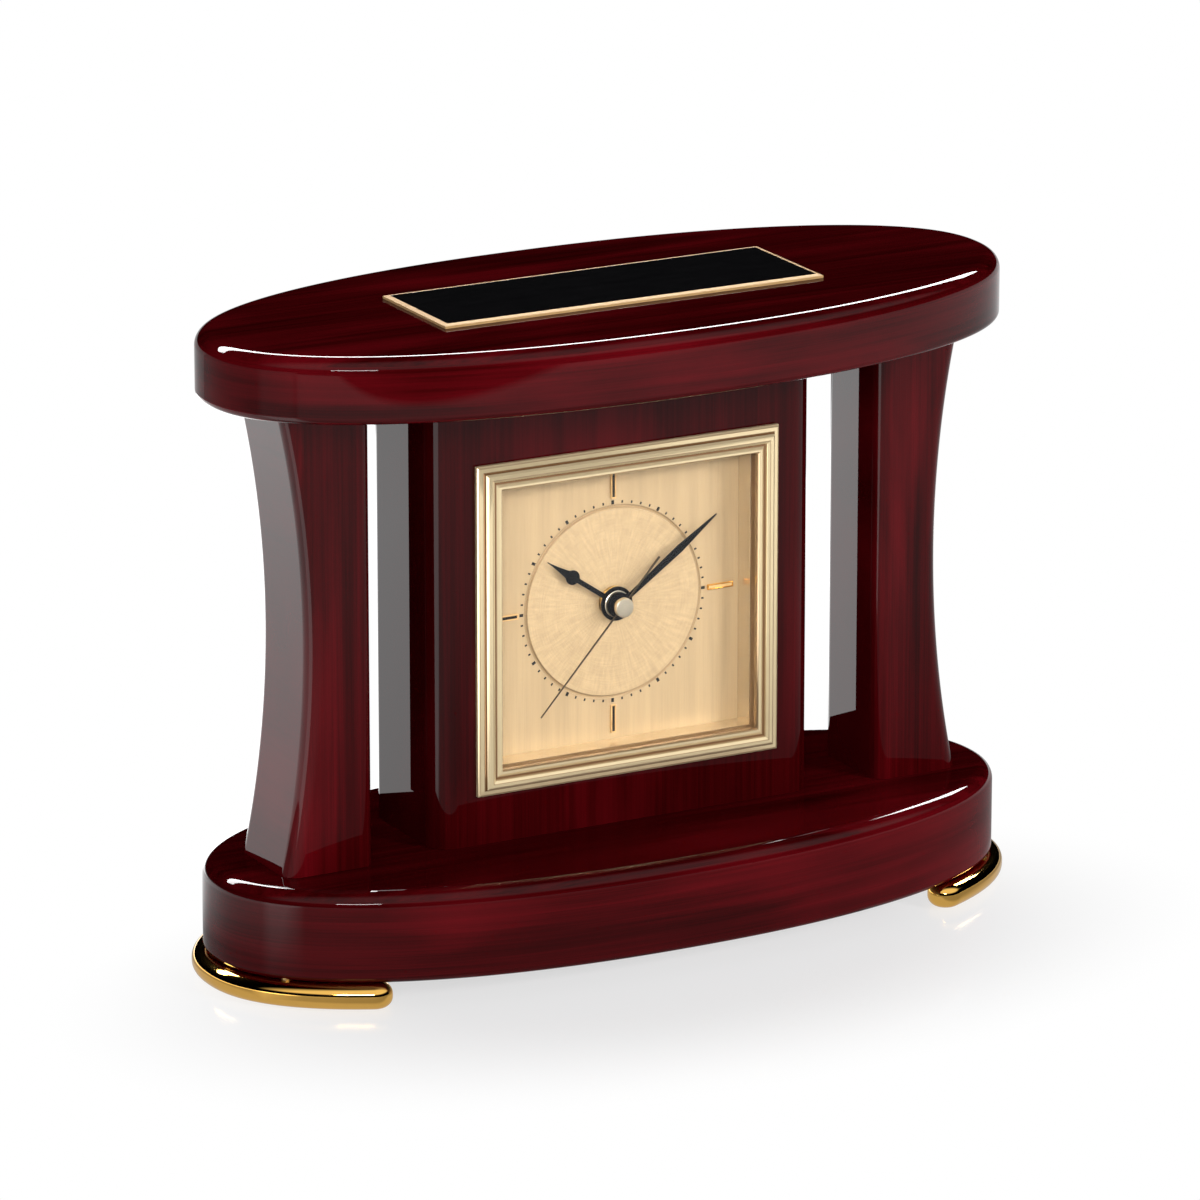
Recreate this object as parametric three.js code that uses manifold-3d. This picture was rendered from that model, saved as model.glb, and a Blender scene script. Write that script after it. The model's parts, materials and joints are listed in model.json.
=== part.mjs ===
// Award clock: a square quartz clock in a wooden case, between two oval plates on two waisted columns.
// Millimetres, +Z up, the dial faces -Y, origin at the centre of the footprint.
import * as THREE from "three";
import { mergeVertices } from "three/addons/utils/BufferGeometryUtils.js";
import Module from "manifold-3d";

const wasm = await Module();
wasm.setup();

const TURN = 2 * Math.PI;
const QUARTER = Math.PI / 2;
const degrees = (angle) => (angle * Math.PI) / 180;

// Fits that pieces share
const glueLine = 0.05;
const runningFit = 0.13;
const drillFit = 0.15;
const insertFit = 0.2;

// How far a cutting tool runs past what it cuts, and a post into what carries it
const past = 1;
const rooted = 0.5;

// Top and base plates, whose outline is an oval a little fuller than an ellipse, whose power is 2
const plateHalfLength = 87.2;
const plateHalfDepth = 38.1;
const ovalPower = 2.2;
const topThickness = 13.25;
const baseThickness = 18.5;
const upperRimRadius = 3.2;
const lowerRimRadius = 1.4;
const plateSides = 60;

// Columns, whose outer side is an arc drawn in at the waist
const columnHeight = 94.75;
const columnEndInset = 10.7;
const columnWidth = 19.5;
const columnDepth = 22;
const waistDrawIn = 5.3;
const columnEdgeRadius = 3;

// Clock case between the columns
const caseWidth = 86;
const caseFrontY = -9.5;
const caseDepth = 27;
const caseFrontRadius = 5;
const caseRearRadius = 2.5;
const insertCentreZ = 67.8;
const insertHole = 61;

// Crescent feet under the two ends of the base
const footHeight = 5;
const footProud = 2.3;
const footWidth = 7.4;
const footEdgeRadius = 2.2;
const footSweep = degrees(43);
const footScrewAngle = degrees(24);

// Screws and dowels
const screwHeadRadius = 3.6;
const screwHeadHeight = 2.4;
const screwShankRadius = 1.9;
const screwGrip = 11;
const screwSpacing = 12;
const caseScrewX = 24;
const footScrewHeadRadius = 1.9;
const footScrewHeadHeight = 1.5;
const footScrewShankRadius = 1.1;
const footScrewGrip = 8;
const headRecess = 0.5;
const dowelRadius = 2.5;
const dowelLength = 16;
const dowelSpacing = 10;

// Name plate on the top, bare, with a bevelled border
const namePlateLength = 84.5;
const namePlateDepth = 27;
const namePlateThickness = 0.8;
const namePlateBorder = 1.3;
const namePlateY = 0;

// Insert, in the dial frame: x to the right, y up, z towards the viewer, zero on the front of the case.
// The bezel's steps are pairs of a height and an inset, from its outer edge and from its opening.
const bezelSize = 68;
const bezelFrameWidth = 5.2;
const bezelNeckDepth = 2.2;
const bezelSteps = [[0, 0.9], [0.4, 1.3], [1.3, 1.4], [1.5, 2], [2, 2.5], [2.7, 2.6], [3.3, 2.2], [3.5, 1.7]];
const bezelLipSteps = [[1.3, 1.7], [0.8, 2.1], [0.3, 2.1], [0, 1.7]];
const bezelNeckWall = 0.7;
const crystalFront = 0.5;
const crystalThickness = 1.2;
const crystalBevel = 0.5;
const crystalMargin = 0.6;
const gasketThickness = 0.4;
const surroundWall = 0.8;
const dialFront = -6.2;
const dialThickness = 0.8;
const discRadius = 19.4;
const discGrooveWidth = 0.5;
const discGrooveDepth = 0.25;
const markerInnerRadius = 21.5;
const markerLength = 5.8;
const markerWidth = 1.1;
const markerHeight = 0.5;
const markerEdge = 0.27;
const hoursOnDial = 12;

// Centre stack, from the outside in
const bushingRadius = 2.6;
const hourPipeRadius = 1.95;
const minutePipeRadius = 1.3;
const centrePipeRadius = 0.95;
const secondArborRadius = 0.5;
const pipeWallFit = 0.15;
const bushingFront = -4.85;
const nutRadius = 3.2;
const nutThickness = 0.9;
const nutSlotWidth = 0.8;
const nutSlotDepth = 0.45;
const washerRadius = 3.4;
const washerThickness = 0.25;

// Hands, at about nine minutes past ten
const handThickness = 0.3;
const hourHandZ = -4.7;
const minuteHandZ = -3.4;
const secondHandZ = -2.15;
const hourHandLength = 18.8;
const minuteHandLength = 27.2;
const secondHandLength = 27.6;
const secondHandTail = 12.5;
const hourHandAngle = degrees(304.5);
const minuteHandAngle = degrees(54);
const secondHandAngle = degrees(222);
const hourBossRadius = 3.5;
const hourStemWidth = 0.9;
const hourBulbRadius = 1.75;
const hourBulbAt = 12;
const hourBulbLow = degrees(-50);
const hourBulbHigh = degrees(35);
const hourNeckLength = 0.6;
const hourTipWidth = 0.24;
const minuteBossRadius = 2.6;
const minuteStemWidth = 0.8;
const minuteWidestWidth = 1.9;
const minuteWidestAt = 16.9;
const minuteTipWidth = 0.2;
const secondHubRadius = 1.1;
const secondTailWidth = 0.44;
const secondTipWidth = 0.2;
const handCapRadius = 2;
const handCapHeight = 0.85;
const handCapEdge = 0.2;

// Quartz movement
const movementSize = 56;
const movementFront = -7.2;
const movementDepth = 14.5;
const housingWall = 1.2;
const housingSplit = -14.4;
const batteryRadius = 7.1;
const batteryLength = 50.5;
const batteryY = -19.7;
const batteryEdge = 0.5;
const batteryNubRadius = 2.7;
const batteryNubHeight = 1.5;
const stripThickness = 0.3;
const stripHalfHeight = 4;
const stripTabDepth = 1.5;
const stripTabReach = 3;
const bayTopY = -12.3;
const middlePlateFront = -10.95;
const middlePlateThickness = 0.6;
const arborRadius = 0.3;
const pivotFit = 0.12;
const pivotDepth = 0.35;
const wheelThickness = 0.7;
const housingCorner = 2;
const minutePostRadius = 0.55;
const platePostRadius = 1.4;
const platePostInset = 2.5;
const middlePlateHalfWidth = 23.5;
const middlePlateLow = -11.6;
const middlePlateHigh = 23.5;

// Height of each pair of meshed wheels, at the back of its teeth
const motionLayer = -9.6;
const cannonLayer = -10.6;
const centreLayer = -12.6;
const thirdLayer = -13.7;
const secondLayer = -14.8;
const rotorLayer = -15.9;

// Teeth and modules of the trains
const rotorPinion = { teeth: 8, module: 0.2 };
const intermediateWheel = { teeth: 48, module: 0.2 };
const intermediatePinion = { teeth: 8, module: 0.25 };
const secondWheel = { teeth: 40, module: 0.25 };
const secondPinion = { teeth: 8, module: 6 / 34 };
const thirdWheel = { teeth: 60, module: 6 / 34 };
const thirdPinion = { teeth: 8, module: 6 / 36 };
const centreWheel = { teeth: 64, module: 6 / 36 };
const cannonPinion = { teeth: 12, module: 0.32 };
const minuteWheel = { teeth: 36, module: 0.32 };
const minutePinion = { teeth: 10, module: 7.68 / 25 };
const hourWheel = { teeth: 40, module: 7.68 / 25 };
const knobPinion = { teeth: 12, module: 0.32 };

// Directions from one arbor to the next
const intermediateDirection = degrees(110);
const rotorDirection = degrees(80);
const thirdDirection = degrees(20);
const minuteDirection = degrees(150);
const knobDirection = degrees(120);

// Motor, circuit and setting knob
const rotorRadius = 2.2;
const rotorThickness = 1.2;
const rotorAirGap = 0.5;
const stepBehindTeeth = 0.4;
const statorThickness = 1;
const statorLegWidth = 3;
const statorRim = 1.2;
const statorPostX = 9;
const coilX = 18;
const coilFit = 0.15;
const coreMargin = 0.5;
const coilRadius = 2.3;
const coreWidth = 3;
const coreThickness = 0.9;
const boardThickness = 0.8;
const boardBack = -19.6;
const boardLeft = 8.5;
const boardLow = -11.6;
const boardHigh = 4.5;
const boardSideGap = 0.3;
const chipX = 14;
const chipY = -4;
const chipRadius = 2.6;
const chipHeight = 0.8;
const crystalCanX = 21.5;
const crystalCanRadius = 1;
const crystalCanLength = 6;
const knobShaftRadius = 1;
const knobRadius = 4.2;
const knobThickness = 2.2;
const knobFit = 0.3;
const knobRidges = 16;
const knobRidgeDepth = 0.21;

// Levels and places worked out from the sizes above
const baseTop = footHeight + baseThickness;
const topBottom = baseTop + columnHeight;
const topTop = topBottom + topThickness;
const columnInnerX = plateHalfLength - columnEndInset - columnWidth;
const columnCentreX = columnInnerX + columnWidth / 2;
const caseCentreY = caseFrontY + caseDepth / 2;
const neckOuter = insertHole / 2 - insertFit;
const neckInner = neckOuter - bezelNeckWall;
const glassHalf = neckInner - insertFit;
const crystalBack = crystalFront - crystalThickness;
const dialBack = dialFront - dialThickness;
const movementBack = movementFront - movementDepth;
const housingInside = movementSize / 2 - housingWall;
const frontPlateInside = movementFront - housingWall;
const backPlateInside = movementBack + housingWall;
const middlePlateBack = middlePlateFront - middlePlateThickness;
const boardRight = housingInside - boardSideGap;

// Finishes
function finish(color, roughness, metalness) {
  return new THREE.MeshStandardMaterial({ color, roughness, metalness });
}
const lacquer = finish(0x5a0f16, 0.08, 0);
const gold = finish(0xe0b45c, 0.15, 1);
const champagne = finish(0xe6cf9a, 0.3, 1);
const blackPaint = finish(0x101114, 0.4, 0);
const blackPlate = finish(0x0c0c0d, 0.25, 0.3);
const glass = finish(0xffffff, 0.02, 0);
glass.transparent = true;
glass.opacity = 0.2;
const rubber = finish(0x1a1a1a, 0.8, 0);
const blackPlastic = finish(0x1c1c1e, 0.5, 0);
const whitePlastic = finish(0xe8e4da, 0.5, 0);
const steel = finish(0xb8bbbf, 0.3, 1);
const brass = finish(0xc9a557, 0.3, 1);
const copper = finish(0xb8643a, 0.35, 1);
const boardGreen = finish(0x1f5a34, 0.5, 0);
const cellJacket = finish(0x2c2f35, 0.35, 0.2);
const beech = finish(0xc79a64, 0.7, 0);

// Solids for joins and cuts
function solidOf(geometry) {
  const bare = geometry.clone();
  bare.deleteAttribute("normal");
  bare.deleteAttribute("uv");
  const merged = mergeVertices(bare, 1e-4);
  return new wasm.Manifold(
    new wasm.Mesh({
      numProp: 3,
      vertProperties: new Float32Array(merged.getAttribute("position").array),
      triVerts: new Uint32Array(merged.index.array),
    }),
  );
}

function geometryOf(solid) {
  const mesh = solid.getMesh();
  const geometry = new THREE.BufferGeometry();
  geometry.setAttribute("position", new THREE.BufferAttribute(mesh.vertProperties, 3));
  geometry.setIndex(new THREE.BufferAttribute(mesh.triVerts, 1));
  const flat = geometry.toNonIndexed();
  flat.computeVertexNormals();
  return flat;
}

function joined(...solids) {
  return solids.reduce((sum, solid) => sum.add(solid));
}

function cut(solid, ...tools) {
  return tools.reduce((rest, tool) => rest.subtract(tool), solid);
}

// Outlines
function points(count, at) {
  return Array.from({ length: count }, (_, i) => at(i / count));
}

// A point of the plates' oval, or one moved out from it along its normal
function ovalPoint(offset, angle) {
  const ux = Math.sign(Math.cos(angle)) * Math.abs(Math.cos(angle)) ** (2 / ovalPower);
  const uy = Math.sign(Math.sin(angle)) * Math.abs(Math.sin(angle)) ** (2 / ovalPower);
  const nx = (Math.sign(ux) * Math.abs(ux) ** (ovalPower - 1)) / plateHalfLength;
  const ny = (Math.sign(uy) * Math.abs(uy) ** (ovalPower - 1)) / plateHalfDepth;
  const outward = new THREE.Vector2(nx, ny).setLength(offset);
  return outward.add(new THREE.Vector2(plateHalfLength * ux, plateHalfDepth * uy));
}

function roundedRectangle(left, low, right, high, lowRadius, highRadius) {
  const shape = new THREE.Shape();
  shape.absarc(right - lowRadius, low + lowRadius, lowRadius, -QUARTER, 0);
  shape.absarc(right - highRadius, high - highRadius, highRadius, 0, QUARTER);
  shape.absarc(left + highRadius, high - highRadius, highRadius, QUARTER, Math.PI);
  shape.absarc(left + lowRadius, low + lowRadius, lowRadius, Math.PI, 3 * QUARTER);
  return shape;
}

// An outline raised from one height to another, with square edges
function raised(shape, low, high, curveSegments = 4) {
  const options = { depth: high - low, bevelEnabled: false, curveSegments };
  return solidOf(new THREE.ExtrudeGeometry(shape, options).translate(0, 0, low));
}

// The same with its two edges rounded, inside the outline
function cushioned(shape, low, high, radius, bevelSegments, curveSegments = 4) {
  const geometry = new THREE.ExtrudeGeometry(shape, {
    depth: high - low - 2 * radius,
    bevelThickness: radius,
    bevelSize: radius,
    bevelOffset: -radius,
    bevelSegments,
    curveSegments,
  });
  return solidOf(geometry.translate(0, 0, low + radius));
}

function box(x0, y0, z0, x1, y1, z1) {
  const geometry = new THREE.BoxGeometry(x1 - x0, y1 - y0, z1 - z0);
  return solidOf(geometry.translate((x0 + x1) / 2, (y0 + y1) / 2, (z0 + z1) / 2));
}

// A profile of [radius, height] pairs, closed on itself or ended on the axis, turned about +Z
function turned(profile, segments = 20, start = 0) {
  const outline = profile.map(([radius, height]) => new THREE.Vector2(radius, height));
  const onAxis = profile[0][0] === 0;
  const loop = onAxis ? outline : [...outline, outline[0]];
  const ordered = THREE.ShapeUtils.area(outline) > 0 ? loop : loop.reverse();
  return solidOf(new THREE.LatheGeometry(ordered, segments, start).rotateX(QUARTER));
}

function rod(radius, low, high, segments = 16) {
  return turned([[0, low], [radius, low], [radius, high], [0, high]], segments);
}

function tube(outer, inner, low, high, segments = 20) {
  return turned([[inner, low], [outer, low], [outer, high], [inner, high]], segments);
}

// A mitred square frame: the profile's first number is half the side of the square
function squareFrame(profile) {
  return turned(profile.map(([half, height]) => [half * Math.SQRT2, height]), 4, TURN / 8);
}

// Gears
const addendum = 0.75;
const dedendum = 1.15;
const tipShare = 0.12;
const rootShare = 0.27;
const pointedFrom = 30;

const pitchRadius = (gear) => (gear.teeth * gear.module) / 2;
const rootRadius = (gear) => pitchRadius(gear) - dedendum * gear.module;
const centreDistance = (a, b) => pitchRadius(a) + pitchRadius(b);

// A wheel's teeth run to a point, and a pinion's have flat tips
function toothCorners(gear) {
  const root = rootRadius(gear);
  const tip = pitchRadius(gear) + addendum * gear.module;
  if (gear.teeth >= pointedFrom) return [[root, -rootShare], [tip, 0], [root, rootShare]];
  return [[root, -rootShare], [tip, -tipShare], [tip, tipShare], [root, rootShare]];
}

function toothedSolid(gear, phase, back) {
  const pitch = TURN / gear.teeth;
  const outline = points(gear.teeth, (t) => t * TURN).flatMap((angle) =>
    toothCorners(gear).map(([radius, share]) => {
      const a = phase + angle + share * pitch;
      return new THREE.Vector2(radius * Math.cos(a), radius * Math.sin(a));
    }),
  );
  return raised(new THREE.Shape(outline), back, back + wheelThickness);
}

// The phase at which a gear meshes with its partner, which lies in the given direction back from it
function meshPhase(gear, partner, partnerPhase, direction) {
  const turnOfPartner = (partnerPhase - direction) / (TURN / partner.teeth);
  return direction + Math.PI + (TURN / gear.teeth) * (0.5 - turnOfPartner);
}

const step = (from, distance, direction) => [
  from[0] + distance * Math.cos(direction),
  from[1] + distance * Math.sin(direction),
];

const centre = [0, 0];
const intermediateAt = step(centre, centreDistance(secondWheel, intermediatePinion), intermediateDirection);
const rotorAt = step(intermediateAt, centreDistance(intermediateWheel, rotorPinion), rotorDirection);
const thirdAt = step(centre, centreDistance(secondPinion, thirdWheel), thirdDirection);
const minuteAt = step(centre, centreDistance(cannonPinion, minuteWheel), minuteDirection);
const knobAt = step(minuteAt, centreDistance(minuteWheel, knobPinion), knobDirection);

// Scene graph
const clock = new THREE.Group();
const insert = new THREE.Group();
insert.position.set(0, caseFrontY, insertCentreZ);
insert.rotation.x = QUARTER;
clock.add(insert);

function place(name, solid, material, group = clock, at = centre) {
  const mesh = new THREE.Mesh(geometryOf(solid), material);
  mesh.name = name;
  mesh.position.set(at[0], at[1], 0);
  group.add(mesh);
}

// Where the screws and dowels stand
const sides = [["left", -1], ["right", 1]];
const ends = [["front", -1], ["rear", 1]];
const columnScrews = sides.flatMap(([side, sx]) =>
  ends.map(([end, sy]) => [`base_screw_${side}_${end}`, sx * columnCentreX, (sy * screwSpacing) / 2]),
);
const caseScrews = sides.map(([side, sx]) => [`base_screw_case_${side}`, sx * caseScrewX, caseCentreY]);
const baseScrews = [...columnScrews, ...caseScrews];
const dowels = sides.flatMap(([side, sx]) =>
  ends.map(([end, sy]) => [`dowel_${side}_${end}`, sx * columnCentreX, (sy * dowelSpacing) / 2]),
);
const footMiddle = footProud - footWidth / 2;
const footScrews = sides.flatMap(([side, sx]) =>
  ends.map(([end, sy]) => {
    const at = ovalPoint(footMiddle, sy * footScrewAngle);
    return [`foot_screw_${side}_${end}`, sx * at.x, at.y];
  }),
);

// Drilled holes and the fasteners that fill them
const drilled = (radius, low, high, x, y) => rod(radius + drillFit, low, high, 12).translate([x, y, 0]);
const dowelLow = topBottom - dowelLength / 2;
const screwTop = baseTop + screwGrip + drillFit;

function addFasteners() {
  const screwLow = footHeight + headRecess;
  const screw = turned([
    [0, screwLow],
    [screwHeadRadius, screwLow],
    [screwHeadRadius, screwLow + screwHeadHeight],
    [screwShankRadius, screwLow + screwHeadHeight],
    [screwShankRadius, baseTop + screwGrip - screwShankRadius],
    [0, baseTop + screwGrip],
  ], 12);
  const footScrew = turned([
    [0, headRecess],
    [footScrewHeadRadius, headRecess],
    [footScrewShankRadius, headRecess + footScrewHeadHeight],
    [footScrewShankRadius, footHeight + footScrewGrip - footScrewShankRadius],
    [0, footHeight + footScrewGrip],
  ], 10);
  baseScrews.forEach(([name, x, y]) => place(name, screw, steel, clock, [x, y]));
  footScrews.forEach(([name, x, y]) => place(name, footScrew, brass, clock, [x, y]));
  const dowel = rod(dowelRadius, dowelLow, dowelLow + dowelLength, 12);
  dowels.forEach(([name, x, y]) => place(name, dowel, beech, clock, [x, y]));
}

// Oval plates: the outline with a wide upper rim and a narrow lower one
function ovalPlate(low, high) {
  const outline = new THREE.Shape(points(plateSides, (t) => ovalPoint(0, t * TURN)));
  const spare = 2 * upperRimRadius;
  const underUpperRim = cushioned(outline, low - spare, high, upperRimRadius, 3);
  const overLowerRim = cushioned(outline, low, high + spare, lowerRimRadius, 2);
  return underUpperRim.intersect(overLowerRim);
}

function addPlates() {
  const dowelTop = dowelLow + dowelLength + drillFit;
  const dowelHoles = dowels.map(([, x, y]) => drilled(dowelRadius, dowelLow, dowelTop, x, y));
  place("top_plate", cut(ovalPlate(topBottom, topTop), ...dowelHoles), lacquer);

  const under = footHeight - past;
  const headTop = footHeight + headRecess + screwHeadHeight + drillFit;
  const footScrewTop = footHeight + footScrewGrip + drillFit;
  const shankHoles = baseScrews.map(([, x, y]) => drilled(screwShankRadius, under, baseTop + past, x, y));
  const headHoles = baseScrews.map(([, x, y]) => drilled(screwHeadRadius, under, headTop, x, y));
  const footHoles = footScrews.map(([, x, y]) => drilled(footScrewShankRadius, under, footScrewTop, x, y));
  const base = cut(ovalPlate(footHeight, baseTop), ...shankHoles, ...headHoles, ...footHoles);
  place("base_plate", base, lacquer);
}

// Column outline in x and z: a straight inner side and an arc drawn in at the waist
function columnSolid(sx) {
  const halfHeight = columnHeight / 2;
  const arcRadius = (halfHeight * halfHeight + waistDrawIn * waistDrawIn) / (2 * waistDrawIn);
  const arcCentre = columnWidth - waistDrawIn + arcRadius;
  const reach = halfHeight + 2 * columnEdgeRadius;
  const halfAngle = Math.asin(reach / arcRadius);
  const shape = new THREE.Shape();
  shape.moveTo(0, reach);
  shape.lineTo(0, -reach);
  shape.absarc(arcCentre, 0, arcRadius, Math.PI + halfAngle, Math.PI - halfAngle, true);
  const bar = cushioned(shape, -columnDepth / 2, columnDepth / 2, columnEdgeRadius, 3, 12);
  const upright = bar.rotate([90, 0, 0]).translate([0, 0, baseTop + halfHeight]);
  const low = baseTop + glueLine;
  const high = topBottom - glueLine;
  const trim = box(-past, -columnDepth, low, 2 * columnWidth, columnDepth, high);
  const column = upright.intersect(trim).translate([columnInnerX, 0, 0]);
  return sx < 0 ? column.mirror([1, 0, 0]) : column;
}

function addColumns() {
  sides.forEach(([side, sx]) => {
    const own = ([name]) => name.includes(`_${side}_`);
    const screwHoles = columnScrews
      .filter(own)
      .map(([, x, y]) => drilled(screwShankRadius, baseTop - past, screwTop, x, y));
    const dowelHoles = dowels
      .filter(own)
      .map(([, x, y]) => drilled(dowelRadius, dowelLow - drillFit, topBottom + past, x, y));
    place(`${side}_column`, cut(columnSolid(sx), ...screwHoles, ...dowelHoles), lacquer);
  });
}

function addCase() {
  const side = caseWidth / 2;
  const rear = caseFrontY + caseDepth;
  const outline = roundedRectangle(-side, caseFrontY, side, rear, caseFrontRadius, caseRearRadius);
  const block = raised(outline, baseTop + glueLine, topBottom - glueLine, 6);
  const half = insertHole / 2;
  const low = insertCentreZ - half;
  const hole = box(-half, caseFrontY - past, low, half, rear + past, low + insertHole);
  const screwHoles = caseScrews.map(([, x, y]) => drilled(screwShankRadius, baseTop - past, screwTop, x, y));
  place("clock_case", cut(block, hole, ...screwHoles), lacquer);
}

// Crescent foot: a bull-nosed band along the end of the oval, with round tips
function footSolid() {
  const outer = footProud;
  const inner = footProud - footWidth;
  const along = (t) => -footSweep + 2 * footSweep * t;
  const band = 12;
  const tip = 5;
  const tipPoint = (angle, t) => {
    const direction = Math.sign(angle);
    const middle = ovalPoint(footMiddle, angle);
    const out = ovalPoint(outer, angle).sub(middle);
    return middle.add(out.rotateAround(new THREE.Vector2(), direction * t * Math.PI));
  };
  const outline = [
    ...Array.from({ length: band + 1 }, (_, i) => ovalPoint(outer, along(i / band))),
    ...Array.from({ length: tip - 1 }, (_, i) => tipPoint(footSweep, (i + 1) / tip)),
    ...Array.from({ length: band + 1 }, (_, i) => ovalPoint(inner, along(1 - i / band))),
    ...Array.from({ length: tip - 1 }, (_, i) => tipPoint(-footSweep, 1 - (i + 1) / tip)),
  ];
  return cushioned(new THREE.Shape(outline), 0, footHeight - glueLine, footEdgeRadius, 3);
}

function addFeet() {
  const right = footSolid();
  sides.forEach(([side, sx]) => {
    const foot = sx < 0 ? right.mirror([1, 0, 0]) : right;
    const holes = footScrews.filter(([name]) => name.includes(`_${side}_`)).flatMap(([, x, y]) => [
      drilled(footScrewHeadRadius, -past, headRecess + footScrewHeadHeight + drillFit, x, y),
      drilled(footScrewShankRadius, -past, footHeight + past, x, y),
    ]);
    place(`${side}_foot`, cut(foot, ...holes), gold);
  });
}

function addNamePlate() {
  const low = topTop + glueLine;
  const high = low + namePlateThickness;
  const halfX = namePlateLength / 2;
  const halfY = namePlateDepth / 2;
  const shape = new THREE.Shape();
  shape.moveTo(-halfX, -halfY).lineTo(halfX, -halfY).lineTo(halfX, halfY).lineTo(-halfX, halfY);
  const plate = new THREE.ExtrudeGeometry(shape, {
    depth: namePlateThickness / 2,
    bevelThickness: namePlateThickness / 2,
    bevelSize: namePlateBorder,
    bevelOffset: -namePlateBorder,
    bevelSegments: 1,
  });
  const trim = box(-halfX - past, -halfY - past, low, halfX + past, halfY + past, high);
  const bevelled = solidOf(plate.translate(0, 0, low)).intersect(trim);
  place("name_plate", bevelled.translate([0, namePlateY, 0]), blackPlate);
}

// Bezel, glass, seal, surround and dial
function addBezel() {
  const outer = bezelSize / 2;
  const lip = outer - bezelFrameWidth;
  const bezel = squareFrame([
    [neckInner, -bezelNeckDepth],
    [neckOuter, -bezelNeckDepth],
    [neckOuter, glueLine],
    [outer, glueLine],
    ...bezelSteps.map(([inset, height]) => [outer - inset, height]),
    ...bezelLipSteps.map(([inset, height]) => [lip + inset, height]),
    [lip, crystalFront + glueLine],
    [neckInner, crystalFront + glueLine],
  ]);
  place("bezel", bezel, champagne, insert);
}

function addCrystal() {
  const face = glassHalf - crystalMargin;
  const crystal = turned([
    [0, crystalBack],
    [glassHalf * Math.SQRT2, crystalBack],
    [glassHalf * Math.SQRT2, crystalFront - crystalBevel],
    [face * Math.SQRT2, crystalFront],
    [0, crystalFront],
  ], 4, TURN / 8);
  place("crystal", crystal, glass, insert);
}

function addSurround() {
  const gasketFront = crystalBack - glueLine;
  const gasketBack = gasketFront - gasketThickness;
  const inner = glassHalf - surroundWall;
  const frame = (front, back) =>
    squareFrame([[inner, back], [glassHalf, back], [glassHalf, front], [inner, front]]);
  place("crystal_gasket", frame(gasketFront, gasketBack), rubber, insert);
  place("dial_surround", frame(gasketBack - glueLine, dialFront + glueLine), champagne, insert);
}

function addDial() {
  const plate = box(-glassHalf, -glassHalf, dialBack, glassHalf, glassHalf, dialFront);
  const grooveOuter = discRadius + discGrooveWidth / 2;
  const grooveInner = discRadius - discGrooveWidth / 2;
  const groove = tube(grooveOuter, grooveInner, dialFront - discGrooveDepth, dialFront + past, 48);
  const shaftHole = rod(bushingRadius + drillFit, dialBack - past, dialFront + past, 20);
  place("dial", cut(plate, groove, shaftHole), champagne, insert);
  [12, 3, 6, 9].forEach((hour) => {
    const half = markerWidth / 2;
    const shape = new THREE.Shape();
    shape.moveTo(-half, markerInnerRadius).lineTo(half, markerInnerRadius);
    shape.lineTo(half, markerInnerRadius + markerLength).lineTo(-half, markerInnerRadius + markerLength);
    const marker = cushioned(shape, dialFront - past, dialFront + glueLine + markerHeight, markerEdge, 1);
    const trim = box(-markerWidth, 0, dialFront + glueLine, markerWidth, glassHalf, crystalBack);
    place(`marker_${hour}`, marker.intersect(trim).rotate(clockwise((hour / hoursOnDial) * TURN)), gold, insert);
  });
}

// Nut and washer that clamp the movement to the dial
function addNut() {
  const bore = bushingRadius + drillFit / 2;
  const washerLow = dialFront + glueLine;
  const washerHigh = washerLow + washerThickness;
  place("dial_washer", tube(washerRadius, bore, washerLow, washerHigh), brass, insert);
  const nutLow = washerHigh + glueLine;
  const nutHigh = nutLow + nutThickness;
  const nut = tube(nutRadius, bore, nutLow, nutHigh);
  const half = nutSlotWidth / 2;
  const slot = box(-nutRadius - past, -half, nutHigh - nutSlotDepth, nutRadius + past, half, nutHigh + past);
  place("shaft_nut", nut.subtract(slot), brass, insert);
}

// Hands, drawn pointing up and then turned to their time
const clockwise = (angle) => [0, 0, (-angle * 180) / Math.PI];

function addHourHand() {
  const stem = hourStemWidth / 2;
  const tip = hourTipWidth / 2;
  const root = hourBossRadius - rooted;
  const neck = hourBulbAt - hourBulbRadius - hourNeckLength;
  const shape = new THREE.Shape();
  shape.moveTo(stem, root).lineTo(stem, neck);
  shape.absarc(0, hourBulbAt, hourBulbRadius, hourBulbLow, hourBulbHigh);
  shape.lineTo(tip, hourHandLength).lineTo(-tip, hourHandLength);
  shape.absarc(0, hourBulbAt, hourBulbRadius, Math.PI - hourBulbHigh, Math.PI - hourBulbLow);
  shape.lineTo(-stem, neck).lineTo(-stem, root);
  const blade = raised(shape, hourHandZ, hourHandZ + handThickness, 4);
  const boss = tube(hourBossRadius, hourPipeRadius + glueLine, hourHandZ, hourHandZ + handThickness);
  place("hour_hand", blade.add(boss).rotate(clockwise(hourHandAngle)), blackPaint, insert);
}

function addMinuteHand() {
  const stem = minuteStemWidth / 2;
  const widest = minuteWidestWidth / 2;
  const tip = minuteTipWidth / 2;
  const root = minuteBossRadius - rooted;
  const shape = new THREE.Shape();
  shape.moveTo(stem, root).lineTo(widest, minuteWidestAt).lineTo(tip, minuteHandLength);
  shape.lineTo(-tip, minuteHandLength).lineTo(-widest, minuteWidestAt).lineTo(-stem, root);
  const blade = raised(shape, minuteHandZ, minuteHandZ + handThickness);
  const boss = tube(minuteBossRadius, minutePipeRadius + glueLine, minuteHandZ, minuteHandZ + handThickness);
  place("minute_hand", blade.add(boss).rotate(clockwise(minuteHandAngle)), blackPaint, insert);
}

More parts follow.
